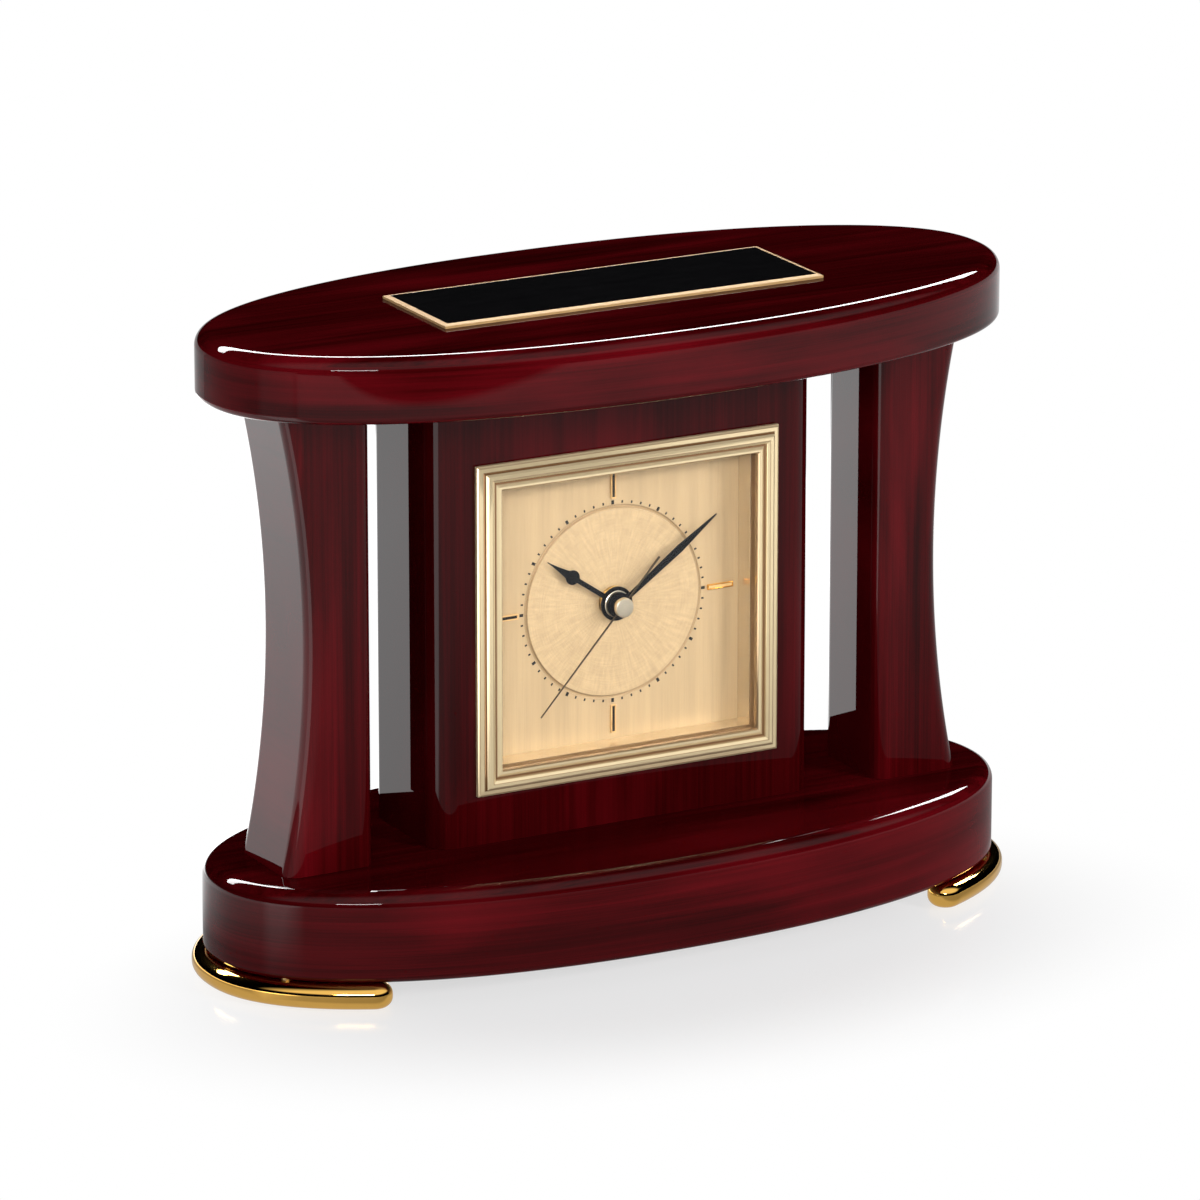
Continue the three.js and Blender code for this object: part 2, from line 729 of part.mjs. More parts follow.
function addSecondHand() {
  const high = secondHandZ + handThickness;
  const shape = new THREE.Shape();
  const tail = secondTailWidth / 2;
  const tip = secondTipWidth / 2;
  shape.moveTo(-tail, -secondHandTail).lineTo(tail, -secondHandTail);
  shape.lineTo(tip, secondHandLength).lineTo(-tip, secondHandLength);
  const hub = rod(secondHubRadius, secondHandZ, high, 16);
  const clear = rod(secondArborRadius + glueLine, secondHandZ - past, high + past, 16);
  const hand = raised(shape, secondHandZ, high).add(hub).subtract(clear);
  place("second_hand", hand.rotate(clockwise(secondHandAngle)), brass, insert);
  const capLow = high + glueLine;
  const cap = turned([
    [0, capLow],
    [handCapRadius, capLow],
    [handCapRadius, capLow + handCapHeight - handCapEdge],
    [handCapRadius - handCapEdge, capLow + handCapHeight],
    [0, capLow + handCapHeight],
  ], 20);
  place("hand_cap", cap, brass, insert);
}

// Motion work, which carries the hour and minute hands and is turned by the setting knob
const cannonPhase = minuteDirection;
const minuteWheelPhase = meshPhase(minuteWheel, cannonPinion, cannonPhase, minuteDirection);
const minutePinionPhase = minuteDirection + Math.PI;
const hourWheelPhase = meshPhase(hourWheel, minutePinion, minutePinionPhase, minuteDirection + Math.PI);
const knobPhase = meshPhase(knobPinion, minuteWheel, minuteWheelPhase, knobDirection);

function addMotionWork() {
  const hourFront = hourHandZ + handThickness;
  const hourPipe = rod(hourPipeRadius, motionLayer, hourFront, 20);
  const hourBore = rod(minutePipeRadius + pipeWallFit, motionLayer - past, hourFront + past, 20);
  const hour = cut(toothedSolid(hourWheel, hourWheelPhase, motionLayer).add(hourPipe), hourBore);
  place("hour_wheel", hour, brass, insert);

  const minuteFront = minuteHandZ + handThickness;
  const cannonPipe = rod(minutePipeRadius, cannonLayer, minuteFront, 20);
  const cannonBore = rod(secondArborRadius + pipeWallFit, cannonLayer - past, minuteFront + past, 16);
  const clutchTop = cannonLayer + wheelThickness;
  const clutchBore = rod(centrePipeRadius + pipeWallFit, cannonLayer - past, clutchTop, 16);
  const cannonTeeth = toothedSolid(cannonPinion, cannonPhase, cannonLayer);
  place("cannon_pinion", cut(cannonTeeth.add(cannonPipe), cannonBore, clutchBore), brass, insert);

  const wheel = toothedSolid(minuteWheel, minuteWheelPhase, cannonLayer);
  const pinion = toothedSolid(minutePinion, minutePinionPhase, motionLayer);
  const hub = rod(rootRadius(minutePinion), cannonLayer, motionLayer + wheelThickness, 16);
  const bore = rod(minutePostRadius + pivotFit, cannonLayer - past, frontPlateInside, 16);
  place("minute_wheel", cut(joined(wheel, pinion, hub), bore), whitePlastic, insert, minuteAt);
}

// Going train, from the motor to the second hand and on to the centre wheel
const secondWheelPhase = intermediateDirection;
const intermediatePinionPhase = meshPhase(
  intermediatePinion, secondWheel, secondWheelPhase, intermediateDirection);
const intermediateWheelPhase = rotorDirection;
const rotorPhase = meshPhase(rotorPinion, intermediateWheel, intermediateWheelPhase, rotorDirection);
const secondPinionPhase = thirdDirection;
const thirdWheelPhase = meshPhase(thirdWheel, secondPinion, secondPinionPhase, thirdDirection);
const thirdPinionPhase = thirdDirection + Math.PI;
const centreWheelPhase = meshPhase(centreWheel, thirdPinion, thirdPinionPhase, thirdDirection + Math.PI);

const arborFront = middlePlateFront;
const arborBack = backPlateInside - pivotDepth;

function addGoingTrain() {
  const secondArbor = rod(secondArborRadius, arborBack, secondHandZ + handThickness, 16);
  const second = joined(
    secondArbor,
    toothedSolid(secondWheel, secondWheelPhase, secondLayer),
    toothedSolid(secondPinion, secondPinionPhase, thirdLayer),
  );
  place("second_wheel", second, whitePlastic, insert);

  const arbor = rod(arborRadius, arborBack, arborFront, 10);
  const intermediate = joined(
    arbor,
    toothedSolid(intermediatePinion, intermediatePinionPhase, secondLayer),
    toothedSolid(intermediateWheel, intermediateWheelPhase, rotorLayer),
  );
  place("intermediate_wheel", intermediate, whitePlastic, insert, intermediateAt);

  const third = joined(
    arbor,
    toothedSolid(thirdPinion, thirdPinionPhase, centreLayer),
    toothedSolid(thirdWheel, thirdWheelPhase, thirdLayer),
  );
  place("third_wheel", third, whitePlastic, insert, thirdAt);

  const pipe = rod(centrePipeRadius, centreLayer, cannonLayer + wheelThickness - pipeWallFit, 16);
  const bore = rod(secondArborRadius + pipeWallFit, centreLayer - past, frontPlateInside, 16);
  const centreSolid = cut(toothedSolid(centreWheel, centreWheelPhase, centreLayer).add(pipe), bore);
  place("centre_wheel", centreSolid, brass, insert);
}

// Stepping motor: rotor, stator, coil core and winding
const magnetFront = rotorLayer - stepBehindTeeth;
const magnetBack = magnetFront - rotorThickness;
const statorFront = magnetFront;
const statorBack = statorFront - statorThickness;
const statorHigh = rotorAt[1] + rotorRadius + rotorAirGap + statorLegWidth;
const statorLow = rotorAt[1] - rotorRadius - rotorAirGap - statorRim;
const windowLow = statorLow + statorLegWidth;
const windowHigh = statorHigh - statorLegWidth;
const statorRight = coilX + coreWidth / 2 + coreMargin;

function addMotor() {
  const magnet = rod(rotorRadius, magnetBack, magnetFront, 20);
  const rotor = joined(
    rod(arborRadius, arborBack, arborFront, 10),
    toothedSolid(rotorPinion, rotorPhase, rotorLayer),
    magnet,
  );
  place("rotor", rotor, blackPlastic, insert, rotorAt);

  const holeRadius = rotorRadius + rotorAirGap;
  const left = rotorAt[0] - holeRadius - statorRim;
  const windowLeft = rotorAt[0] + holeRadius + statorRim;
  const low = statorBack - past;
  const high = statorFront + past;
  const plate = box(left, statorLow, statorBack, statorRight, statorHigh, statorFront);
  const window = box(windowLeft, windowLow, low, statorRight + past, windowHigh, high);
  const hole = rod(holeRadius, low, high, 24).translate([rotorAt[0], rotorAt[1], 0]);
  place("stator", cut(plate, window, hole), steel, insert);

  const coreFront = statorBack - glueLine;
  const coreBack = coreFront - coreThickness;
  const halfCore = coreWidth / 2;
  const core = box(coilX - halfCore, statorLow, coreBack, coilX + halfCore, statorHigh, coreFront);
  place("coil_core", core, steel, insert);
  const coilLength = windowHigh - windowLow - 2 * coilFit;
  const winding = rod(coilRadius, 0, coilLength, 20)
    .rotate([-90, 0, 0])
    .translate([coilX, windowLow + coilFit, (coreFront + coreBack) / 2]);
  const boreLeft = coilX - halfCore - coilFit;
  const boreRight = coilX + halfCore + coilFit;
  const boreBack = coreBack - coilFit;
  const bore = box(boreLeft, windowLow - past, boreBack, boreRight, windowHigh + past, coreFront + coilFit);
  place("motor_coil", winding.subtract(bore), copper, insert);
}

// Setting knob, on a shaft that runs through the back of the housing
function addKnob() {
  const shaftFront = frontPlateInside - glueLine;
  const knobFront = movementBack - knobFit;
  const knobBack = knobFront - knobThickness;
  const outline = points(2 * knobRidges, (t) => {
    const radius = knobRadius - knobRidgeDepth * Math.abs(Math.sin((t * TURN * knobRidges) / 2));
    return new THREE.Vector2(radius * Math.cos(t * TURN), radius * Math.sin(t * TURN));
  });
  const knob = joined(
    rod(knobShaftRadius, knobFront - rooted, shaftFront, 16),
    toothedSolid(knobPinion, knobPhase, cannonLayer),
    raised(new THREE.Shape(outline), knobBack, knobFront),
  );
  place("set_knob", knob, blackPlastic, insert, knobAt);
}

// Movement housing in two shells, with a middle plate between
function addHousing() {
  const half = movementSize / 2;
  const outline = roundedRectangle(-half, -half, half, half, housingCorner, housingCorner);
  const shell = (low, high) => raised(outline, low, high, 3);
  const post = (radius, low, high, [x, y]) => rod(radius, low, high, 12).translate([x, y, 0]);
  const hollow = (low, high) => box(-housingInside, -housingInside, low, housingInside, housingInside, high);

  const bushing = rod(bushingRadius, frontPlateInside, bushingFront, 20);
  const bushingBore = rod(hourPipeRadius + pipeWallFit, frontPlateInside - past, bushingFront + past, 20);
  const postLow = middlePlateFront + glueLine;
  const postHigh = frontPlateInside + rooted;
  const postX = middlePlateHalfWidth - platePostInset;
  const postYs = [middlePlateLow + platePostInset, middlePlateHigh - platePostInset];
  const platePosts = postYs.flatMap((y) => [[-postX, y], [postX, y]]);
  const frontShell = shell(housingSplit + glueLine, movementFront)
    .subtract(hollow(housingSplit - past, frontPlateInside));
  const front = joined(
    frontShell,
    bushing,
    post(minutePostRadius, postLow, postHigh, minuteAt),
    ...platePosts.map((at) => post(platePostRadius, postLow, postHigh, at)),
  );
  place("front_housing", front.subtract(bushingBore), blackPlastic, insert);

  const pivotLow = backPlateInside - pivotDepth - pivotFit;
  const pivot = (at, radius) => post(radius + pivotFit, pivotLow, backPlateInside + past, at);
  const backShell = shell(movementBack, housingSplit).subtract(hollow(backPlateInside, housingSplit + past));
  const bayLow = movementBack - past;
  const bay = box(-housingInside, -housingInside, bayLow, housingInside, bayTopY, housingSplit + past);
  const knobHole = post(knobShaftRadius + pivotFit, movementBack - past, housingSplit, knobAt);
  const pivots = [thirdAt, intermediateAt, rotorAt].map((at) => pivot(at, arborRadius));
  const statorMiddles = [statorLow + statorLegWidth / 2, statorHigh - statorLegWidth / 2];
  const statorPosts = statorMiddles.map((y) =>
    post(platePostRadius, backPlateInside - rooted, statorBack - glueLine, [statorPostX, y]));
  const boardPosts = [boardLow + platePostInset, boardHigh - platePostInset].map((y) =>
    post(platePostRadius, backPlateInside - rooted, boardBack - glueLine, [coilX, y]));
  const postedShell = joined(cut(backShell, bay, knobHole), ...statorPosts, ...boardPosts);
  const rear = cut(postedShell, pivot(centre, secondArborRadius), ...pivots);
  place("rear_housing", rear, blackPlastic, insert);

  const plateHigh = middlePlateFront + past;
  const plateHole = (at, radius) => post(radius, middlePlateBack - past, plateHigh, at);
  const side = middlePlateHalfWidth;
  const plate = box(-side, middlePlateLow, middlePlateBack, side, middlePlateHigh, middlePlateFront);
  const holes = [
    plateHole(centre, centrePipeRadius + 2 * pipeWallFit),
    plateHole(knobAt, knobShaftRadius + 2 * pivotFit),
    ...[thirdAt, intermediateAt, rotorAt].map((at) => plateHole(at, arborRadius + pivotFit)),
  ];
  place("middle_plate", cut(plate, ...holes), whitePlastic, insert);
}

// Battery, its two contacts and the circuit board with its chip and crystal
function addPower() {
  const batteryZ = frontPlateInside - runningFit - batteryRadius;
  const body = batteryLength - batteryNubHeight;
  const cell = turned([
    [0, 0],
    [batteryRadius - batteryEdge, 0],
    [batteryRadius, batteryEdge],
    [batteryRadius, body - batteryEdge],
    [batteryRadius - batteryEdge, body],
    [batteryNubRadius, body],
    [batteryNubRadius, batteryLength],
    [0, batteryLength],
  ], 20).rotate([0, 90, 0]);
  place("battery", cell.translate([-batteryLength / 2, batteryY, batteryZ]), cellJacket, insert);

  const inner = batteryLength / 2 + runningFit;
  const outer = inner + stripThickness;
  const back = boardBack - stripThickness;
  const tabHigh = boardLow - insertFit;
  const tabLow = tabHigh - stripThickness;
  const tabFront = boardBack + stripTabDepth;
  const bladeLow = batteryY - stripHalfHeight;
  const bladeFront = batteryZ + batteryNubRadius;
  const blade = (x0, x1) => box(x0, bladeLow, back, x1, tabHigh, bladeFront);
  const tab = (x0, x1) => box(x0, tabLow, back, x1, tabHigh, tabFront);
  place("contact_plus", blade(inner, outer).add(tab(boardRight - stripTabReach, outer)), steel, insert);
  place("contact_minus", blade(-outer, -inner).add(tab(-outer, boardLeft + stripTabReach)), steel, insert);

  const boardFront = boardBack + boardThickness;
  const board = box(boardLeft, boardLow, boardBack, boardRight, boardHigh, boardFront);
  const chipLow = -boardThickness / 2;
  const chipEdge = chipRadius - chipHeight;
  const chip = turned([[0, chipLow], [chipRadius, chipLow], [chipEdge, chipHeight], [0, chipHeight]]);
  place("circuit_board", board.add(chip.translate([chipX, chipY, boardFront])), boardGreen, insert);
  const can = rod(crystalCanRadius, 0, crystalCanLength, 12).rotate([-90, 0, 0]);
  const canZ = boardFront + glueLine + crystalCanRadius;
  place("quartz_crystal", can.translate([crystalCanX, chipY - crystalCanLength / 2, canZ]), steel, insert);
}

addFeet();
addPlates();
addColumns();
addCase();
addFasteners();
addNamePlate();
addBezel();
addCrystal();
addSurround();
addDial();
addNut();
addHourHand();
addMinuteHand();
addSecondHand();
addMotionWork();
addGoingTrain();
addMotor();
addKnob();
addHousing();
addPower();

export default clock;
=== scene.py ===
import json
import math

import bmesh
import bpy
from bpy.props import FloatProperty, FloatVectorProperty, IntProperty
from mathutils import Matrix, Vector

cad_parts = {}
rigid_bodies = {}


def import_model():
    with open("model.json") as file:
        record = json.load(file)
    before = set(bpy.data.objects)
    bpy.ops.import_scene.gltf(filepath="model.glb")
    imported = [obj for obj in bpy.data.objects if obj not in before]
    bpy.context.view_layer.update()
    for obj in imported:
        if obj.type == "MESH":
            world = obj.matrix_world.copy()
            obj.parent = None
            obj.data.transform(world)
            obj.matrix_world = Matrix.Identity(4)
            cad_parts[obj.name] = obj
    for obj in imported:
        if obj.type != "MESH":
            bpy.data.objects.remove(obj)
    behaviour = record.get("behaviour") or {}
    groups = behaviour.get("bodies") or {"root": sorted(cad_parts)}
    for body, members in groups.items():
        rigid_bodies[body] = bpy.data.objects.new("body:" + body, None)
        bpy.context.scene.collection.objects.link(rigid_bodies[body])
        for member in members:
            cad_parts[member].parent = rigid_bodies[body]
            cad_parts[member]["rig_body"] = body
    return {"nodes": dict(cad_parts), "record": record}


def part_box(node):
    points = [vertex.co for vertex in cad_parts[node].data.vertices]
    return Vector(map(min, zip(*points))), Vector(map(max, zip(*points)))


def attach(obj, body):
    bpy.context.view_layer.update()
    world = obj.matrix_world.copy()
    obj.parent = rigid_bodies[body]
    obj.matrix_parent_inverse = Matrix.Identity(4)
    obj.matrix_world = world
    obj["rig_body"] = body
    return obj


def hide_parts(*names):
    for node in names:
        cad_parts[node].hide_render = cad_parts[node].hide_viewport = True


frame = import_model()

bl_info = {
    "name": "Award clock",
    "version": (1, 0, 0),
    "blender": (4, 5, 0),
    "location": "View3D > Sidebar > Award clock",
    "description": "Builds the lacquered case, the insert and the studio of an award clock",
    "category": "Add Mesh",
}

MM = 0.001
HALF_TURN = math.pi
QUARTER_TURN = math.pi / 2
SHARP = math.radians(57)
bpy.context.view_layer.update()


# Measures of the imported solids
def low_of(node):
    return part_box(node)[0]


def high_of(node):
    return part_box(node)[1]


def middle_of(node):
    low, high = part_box(node)
    return (low + high) / 2


DIAL_CENTRE = Vector((0, 0, middle_of("bezel").z))
DIAL_FRONT = low_of("dial").y
DIAL_HOLE = 2.75 * MM
BEZEL_HALF = 34 * MM
BEZEL_WIDTH = 5.2 * MM
OVAL_HALF = high_of("base_plate")


# Settings that a user would change
def length_of(name, description, millimetres):
    return FloatProperty(name=name, description=description, default=millimetres * MM, unit="LENGTH")


def angle_of(name, description, degrees):
    return FloatProperty(name=name, description=description, default=math.radians(degrees), subtype="ANGLE")


def power_of(name, description, watts):
    return FloatProperty(name=name, description=description, default=watts, unit="POWER")


def colour_of(name, description, default):
    return FloatVectorProperty(
        name=name, description=description, default=default, subtype="COLOR", size=3, min=0, max=1)


class ClockSizes(bpy.types.PropertyGroup):
    oval_power: FloatProperty(
        name="Oval power", description="2 gives an ellipse and more a fuller outline", default=2.2, min=1.5)
    upper_rim: length_of("Upper rim", "Radius of the upper rim of both plates", 3.2)
    lower_rim: length_of("Lower rim", "Radius of the lower rim of both plates", 1.4)
    waist: length_of("Waist", "How far the outer side of a column is drawn in", 5.3)
    column_edge: length_of("Column edge", "Radius of a column's four edges", 3)
    case_front_edge: length_of("Case front edge", "Radius of the case's front edges", 5)
    case_rear_edge: length_of("Case rear edge", "Radius of the case's rear edges", 2.5)
    insert_hole: length_of("Insert hole", "Side of the square hole through the case", 61)
    foot_width: length_of("Foot width", "Width of the metal crescents", 7.4)
    foot_proud: length_of("Foot proud", "How far a foot stands out from the base", 2.3)
    foot_edge: length_of("Foot edge", "Radius of a foot's edges", 2.2)
    foot_sweep: angle_of("Foot sweep", "Angle on the oval that a foot reaches on each side", 43)
    plate_border: length_of("Border", "Width of the name plate's gilt border", 1.3)
    disc_radius: length_of("Disc radius", "Radius of the ring groove in the dial", 19.4)
    disc_thickness: length_of("Disc thickness", "How far the centre disc stands out", 0.3)
    groove_width: length_of("Groove width", "Width of the ring groove", 0.7)
    groove_depth: length_of("Groove depth", "Depth of the ring groove", 0.22)
    track_radius: length_of("Minute track", "Radius of the minute dashes' middle", 20.6)
    minutes: IntProperty(name="Minutes", description="Dashes on the minute track", default=60)


class ClockColours(bpy.types.PropertyGroup):
    wood_dark: colour_of("Dark veneer", "Darkest streaks of the wood", (0.022, 0.0004, 0.0006))
    wood_red: colour_of("Red veneer", "Body colour of the wood", (0.085, 0.0016, 0.0034))
    wood_bright: colour_of("Bright veneer", "Brightest figure of the wood", (0.19, 0.004, 0.009))
    gold: colour_of("Gold", "Plating of the feet and the markers", (1, 0.57, 0.13))
    champagne: colour_of("Champagne", "Plating of the bezel", (1, 0.81, 0.49))
    dial: colour_of("Dial", "Brushed plate of the dial", (0.53, 0.38, 0.21))
    black: colour_of("Black", "Field of the name plate", (0.004, 0.004, 0.0045))


class StudioSettings(bpy.types.PropertyGroup):
    azimuth: angle_of("Azimuth", "Camera's angle round the clock from its front", -28.3)
    elevation: angle_of("Elevation", "Camera's height angle", 16.65)
    distance: length_of("Distance", "From the camera to the point it looks at", 1600)
    aim: FloatVectorProperty(
        name="Aim", description="Point that the camera looks at",
        default=(-0.95 * MM, 0, 67.31 * MM), subtype="TRANSLATION")
    lens: FloatProperty(name="Lens", description="Focal length in millimetres", default=239.98)
    key_power: power_of("Key", "Power of the softbox at the front right", 29)
    rim_power: power_of("Rim", "Power of the strip behind, which only gloss shows", 70)
    spark_power: power_of("Spark", "Power of the small strip that only gloss shows", 9)
    fill_power: power_of("Fill", "Power of the softbox at the front left", 15)
    floor_half: length_of("Floor", "Half of the floor's side", 6000)
    left_flag: length_of("Left flag", "How far back the card behind the left column reaches", 29)
    right_flag: length_of("Right flag", "How far back the card behind the case reaches", 21.5)


# Shader values
def maths_method(operation, swapped=False):
    def method(self, other=0.0):
        pair = (other, self) if swapped else (self, other)
        return self.shader.maths(operation, *pair)

    return method


class Value:
    """A number in a shader, which takes part in Python's own maths."""

    def __init__(self, shader, socket):
        self.shader = shader
        self.socket = socket

    __add__ = maths_method("ADD")
    __radd__ = maths_method("ADD", True)
    __sub__ = maths_method("SUBTRACT")
    __rsub__ = maths_method("SUBTRACT", True)
    __mul__ = maths_method("MULTIPLY")
    __rmul__ = maths_method("MULTIPLY", True)
    __truediv__ = maths_method("DIVIDE")
    __pow__ = maths_method("POWER")
    __gt__ = maths_method("GREATER_THAN")
    __lt__ = maths_method("LESS_THAN")
    absolute = maths_method("ABSOLUTE")
    at_most = maths_method("MINIMUM")
    at_least = maths_method("MAXIMUM")


class Shader:
    """The node tree of a material or of the world, which starts empty."""

    def __init__(self, owner):
        self.owner = owner
        owner.use_nodes = True
        self.tree = owner.node_tree
        self.tree.nodes.clear()

    def node(self, kind, sockets=None, **settings):
        made = self.tree.nodes.new("ShaderNode" + kind)
        for name, setting in settings.items():
            setattr(made, name, setting)
        for key, given in (sockets or {}).items():
            source = getattr(given, "socket", given)
            if isinstance(source, bpy.types.NodeSocket):
                self.tree.links.new(source, made.inputs[key])
            else:
                made.inputs[key].default_value = source
        return made

    def value(self, node, output=0):
        return Value(self, node.outputs[output])

    def maths(self, operation, first, second=0.0):
        return self.value(self.node("Math", {0: first, 1: second}, operation=operation))

    def here(self, scale=1, turn=(0, 0, 0), centre=(0, 0, 0)):
        """Object coordinates in metres, less a centre, then turned and scaled."""
        scale = scale if isinstance(scale, tuple) else (scale, scale, scale)
        coordinates = self.node("TexCoord").outputs["Object"]
        moved = self.node("VectorMath", {0: coordinates, 1: centre}, operation="SUBTRACT")
        turned = self.node("Mapping", {"Vector": moved.outputs[0], "Rotation": turn})
        return self.node("Mapping", {"Vector": turned.outputs[0], "Scale": scale}).outputs[0]

    def split(self, vector):
        parts = self.node("SeparateXYZ", {0: vector})
        return [self.value(parts, axis) for axis in range(3)]

    def noise(self, where, detail=2.0, roughness=0.5, distortion=0.0):
        """Noise at a vector, or at object coordinates with the given scale."""
        vector = where if isinstance(where, bpy.types.NodeSocket) else self.here(where)
        return self.value(self.node("TexNoise", {
            "Vector": vector, "Scale": 1.0, "Detail": detail, "Roughness": roughness,
            "Distortion": distortion}))

    def waves(self, value, half_length):
        """A zigzag from 0 to 1 and back."""
        return self.maths("PINGPONG", value, half_length) / half_length

    def ramp(self, value, *stops):
        made = self.node("ValToRGB", {0: value})
        elements = made.color_ramp.elements
        while len(elements) < len(stops):
            elements.new(1)
        for element, (position, shade) in zip(elements, stops):
            element.position = position
            element.color = (shade, shade, shade, 1)
        return self.value(made)

    def mix(self, factor, first, second):
        """A colour between two others."""
        first, second = ((*part, 1) if isinstance(part, tuple) else part for part in (first, second))
        return self.node("Mix", {0: factor, 6: first, 7: second}, data_type="RGBA").outputs[2]

    def blend(self, factor, first, second):
        """A number between two others."""
        return self.value(self.node("Mix", {0: factor, 2: first, 3: second}, data_type="FLOAT"))

    def bump(self, height, distance, strength):
        return self.node("Bump", {"Height": height, "Distance": distance, "Strength": strength}).outputs[0]

    def glow(self, strength, kind="Emission"):
        return self.node(kind, {"Color": (1, 1, 1, 1), "Strength": strength}).outputs[0]

    def surface(self, **sockets):
        named = {name.replace("_", " "): given for name, given in sockets.items()}
        return self.node("BsdfPrincipled", named).outputs[0]

    def blend_shaders(self, factor, first, second):
        return self.node("MixShader", {0: factor, 1: first, 2: second}).outputs[0]

    def output(self, shader, kind="OutputMaterial"):
        self.node(kind, {"Surface": shader})
        return self.owner

    def finish(self, **sockets):
        """The whole material, with one surface of these sockets."""
        return self.output(self.surface(**sockets))


def new_shader(name):
    return Shader(bpy.data.materials.new(name))


def chosen(name):
    """A colour from the settings, as a plain tuple."""
    return tuple(getattr(bpy.context.scene.clock_colours, name))


def scaled(shade, factor):
    return tuple(part * factor for part in shade)


def hypotenuse(first, second):
    return (first * first + second * second) ** 0.5


# Red lacquer over veneer, whose grain runs along X after the given turn and round the plates' rims
def lacquer(name, turn, painted_shade_factor=1.0):
    shader = new_shader(name)
    upright_wall = shader.split(shader.node("TexCoord").outputs["Normal"])[2].absolute() < 0.5

    def grained(along, across, detail, roughness, distortion=0.0):
        flat, wall = (
            shader.noise(shader.here((along, inward, across), turn), detail, roughness, distortion)
            for inward in (across, along))
        return shader.blend(upright_wall, flat, wall)

    streaks = grained(9, 900, 5, 0.6, 0.15)
    hairs = grained(30, 3600, 3, 0.6)
    figure = grained(11, 120, 3, 0.55, 0.5)
    cloud = shader.noise(shader.here((16, 30, 30), turn))
    tone = shader.ramp(streaks * 0.5 + figure * 0.5, (0.34, 0), (0.64, 1))
    pores = shader.ramp(hairs, (0.32, 0), (0.5, 1))
    glow = shader.ramp(figure * 0.35 + cloud * 0.65, (0.5, 0), (0.72, 1))
    # A factor below 1 paints the whole veneer darker, as painted shade
    body = shader.mix(tone * (0.55 + 0.45 * pores) * painted_shade_factor, chosen("wood_dark"), chosen("wood_red"))
    return shader.finish(
        Base_Color=shader.mix(glow * 0.6 * painted_shade_factor, body, chosen("wood_bright")),
        Roughness=0.45 + 0.1 * streaks,
        Specular_IOR_Level=0.0,
        Coat_Weight=1.0,
        Coat_Roughness=0.012,
        Coat_IOR=1.25)


# Plated metal with a faint cloud in its polish
def plated(name, shade, roughness, cloud, metallic=1.0):
    shader = new_shader(name)
    mottle = shader.noise(180, 4, 0.6)
    fine = shader.noise(1500, 2, 0.5)
    return shader.finish(
        Base_Color=shader.mix(mottle, scaled(shade, 0.86), shade),
        Metallic=metallic,
        Roughness=roughness + cloud * (mottle - 0.5),
        Normal=shader.bump(fine, 0.004 * MM, 0.3))


# Pale gold plate of the bezel, with painted shade in the grooves and lines between its steps
def bezel_plate():
    shader = new_shader("champagne_plate")
    x, _, z = shader.split(shader.here(centre=DIAL_CENTRE))
    inset = (BEZEL_HALF - x.absolute().at_least(z.absolute())) / BEZEL_WIDTH
    outer_groove = shader.ramp(inset, (0.22, 0), (0.26, 1), (0.29, 1), (0.31, 0))
    inner_groove = shader.ramp(inset, (0.63, 0), (0.68, 1), (0.73, 1), (0.78, 0))
    lines = shader.ramp(
        inset, (0.05, 0), (0.08, 1), (0.1, 0), (0.5, 0), (0.53, 1), (0.55, 0), (0.93, 0), (0.97, 1))
    # Painted shade: the grooves and the lines at the steps are darkened to brown, where shade falls between
    # the steps
    painted_step_shade = outer_groove.at_least(inner_groove).at_least(lines * 0.7) * 0.9
    mottle = shader.noise(180, 4, 0.6)
    shade = chosen("champagne")
    clean = shader.mix(mottle, scaled(shade, 0.9), shade)
    return shader.finish(
        Base_Color=shader.mix(painted_step_shade, clean, (0.2, 0.07, 0.015)),
        Metallic=0.5,
        Roughness=0.05 + 0.02 * mottle)


# Fine-brushed border under a film of lacquer, which dulls its metal
def border():
    shader = new_shader("brushed_border")
    lines = shader.noise((300, 2600, 300), 3, 0.6)
    return shader.finish(
        Base_Color=shader.mix(lines, (0.5, 0.3, 0.12), (0.74, 0.48, 0.22)),
        Metallic=0.08,
        Roughness=0.4 + 0.1 * lines,
        Normal=shader.bump(lines, 0.01 * MM, 0.3),
        Specular_IOR_Level=0.1)


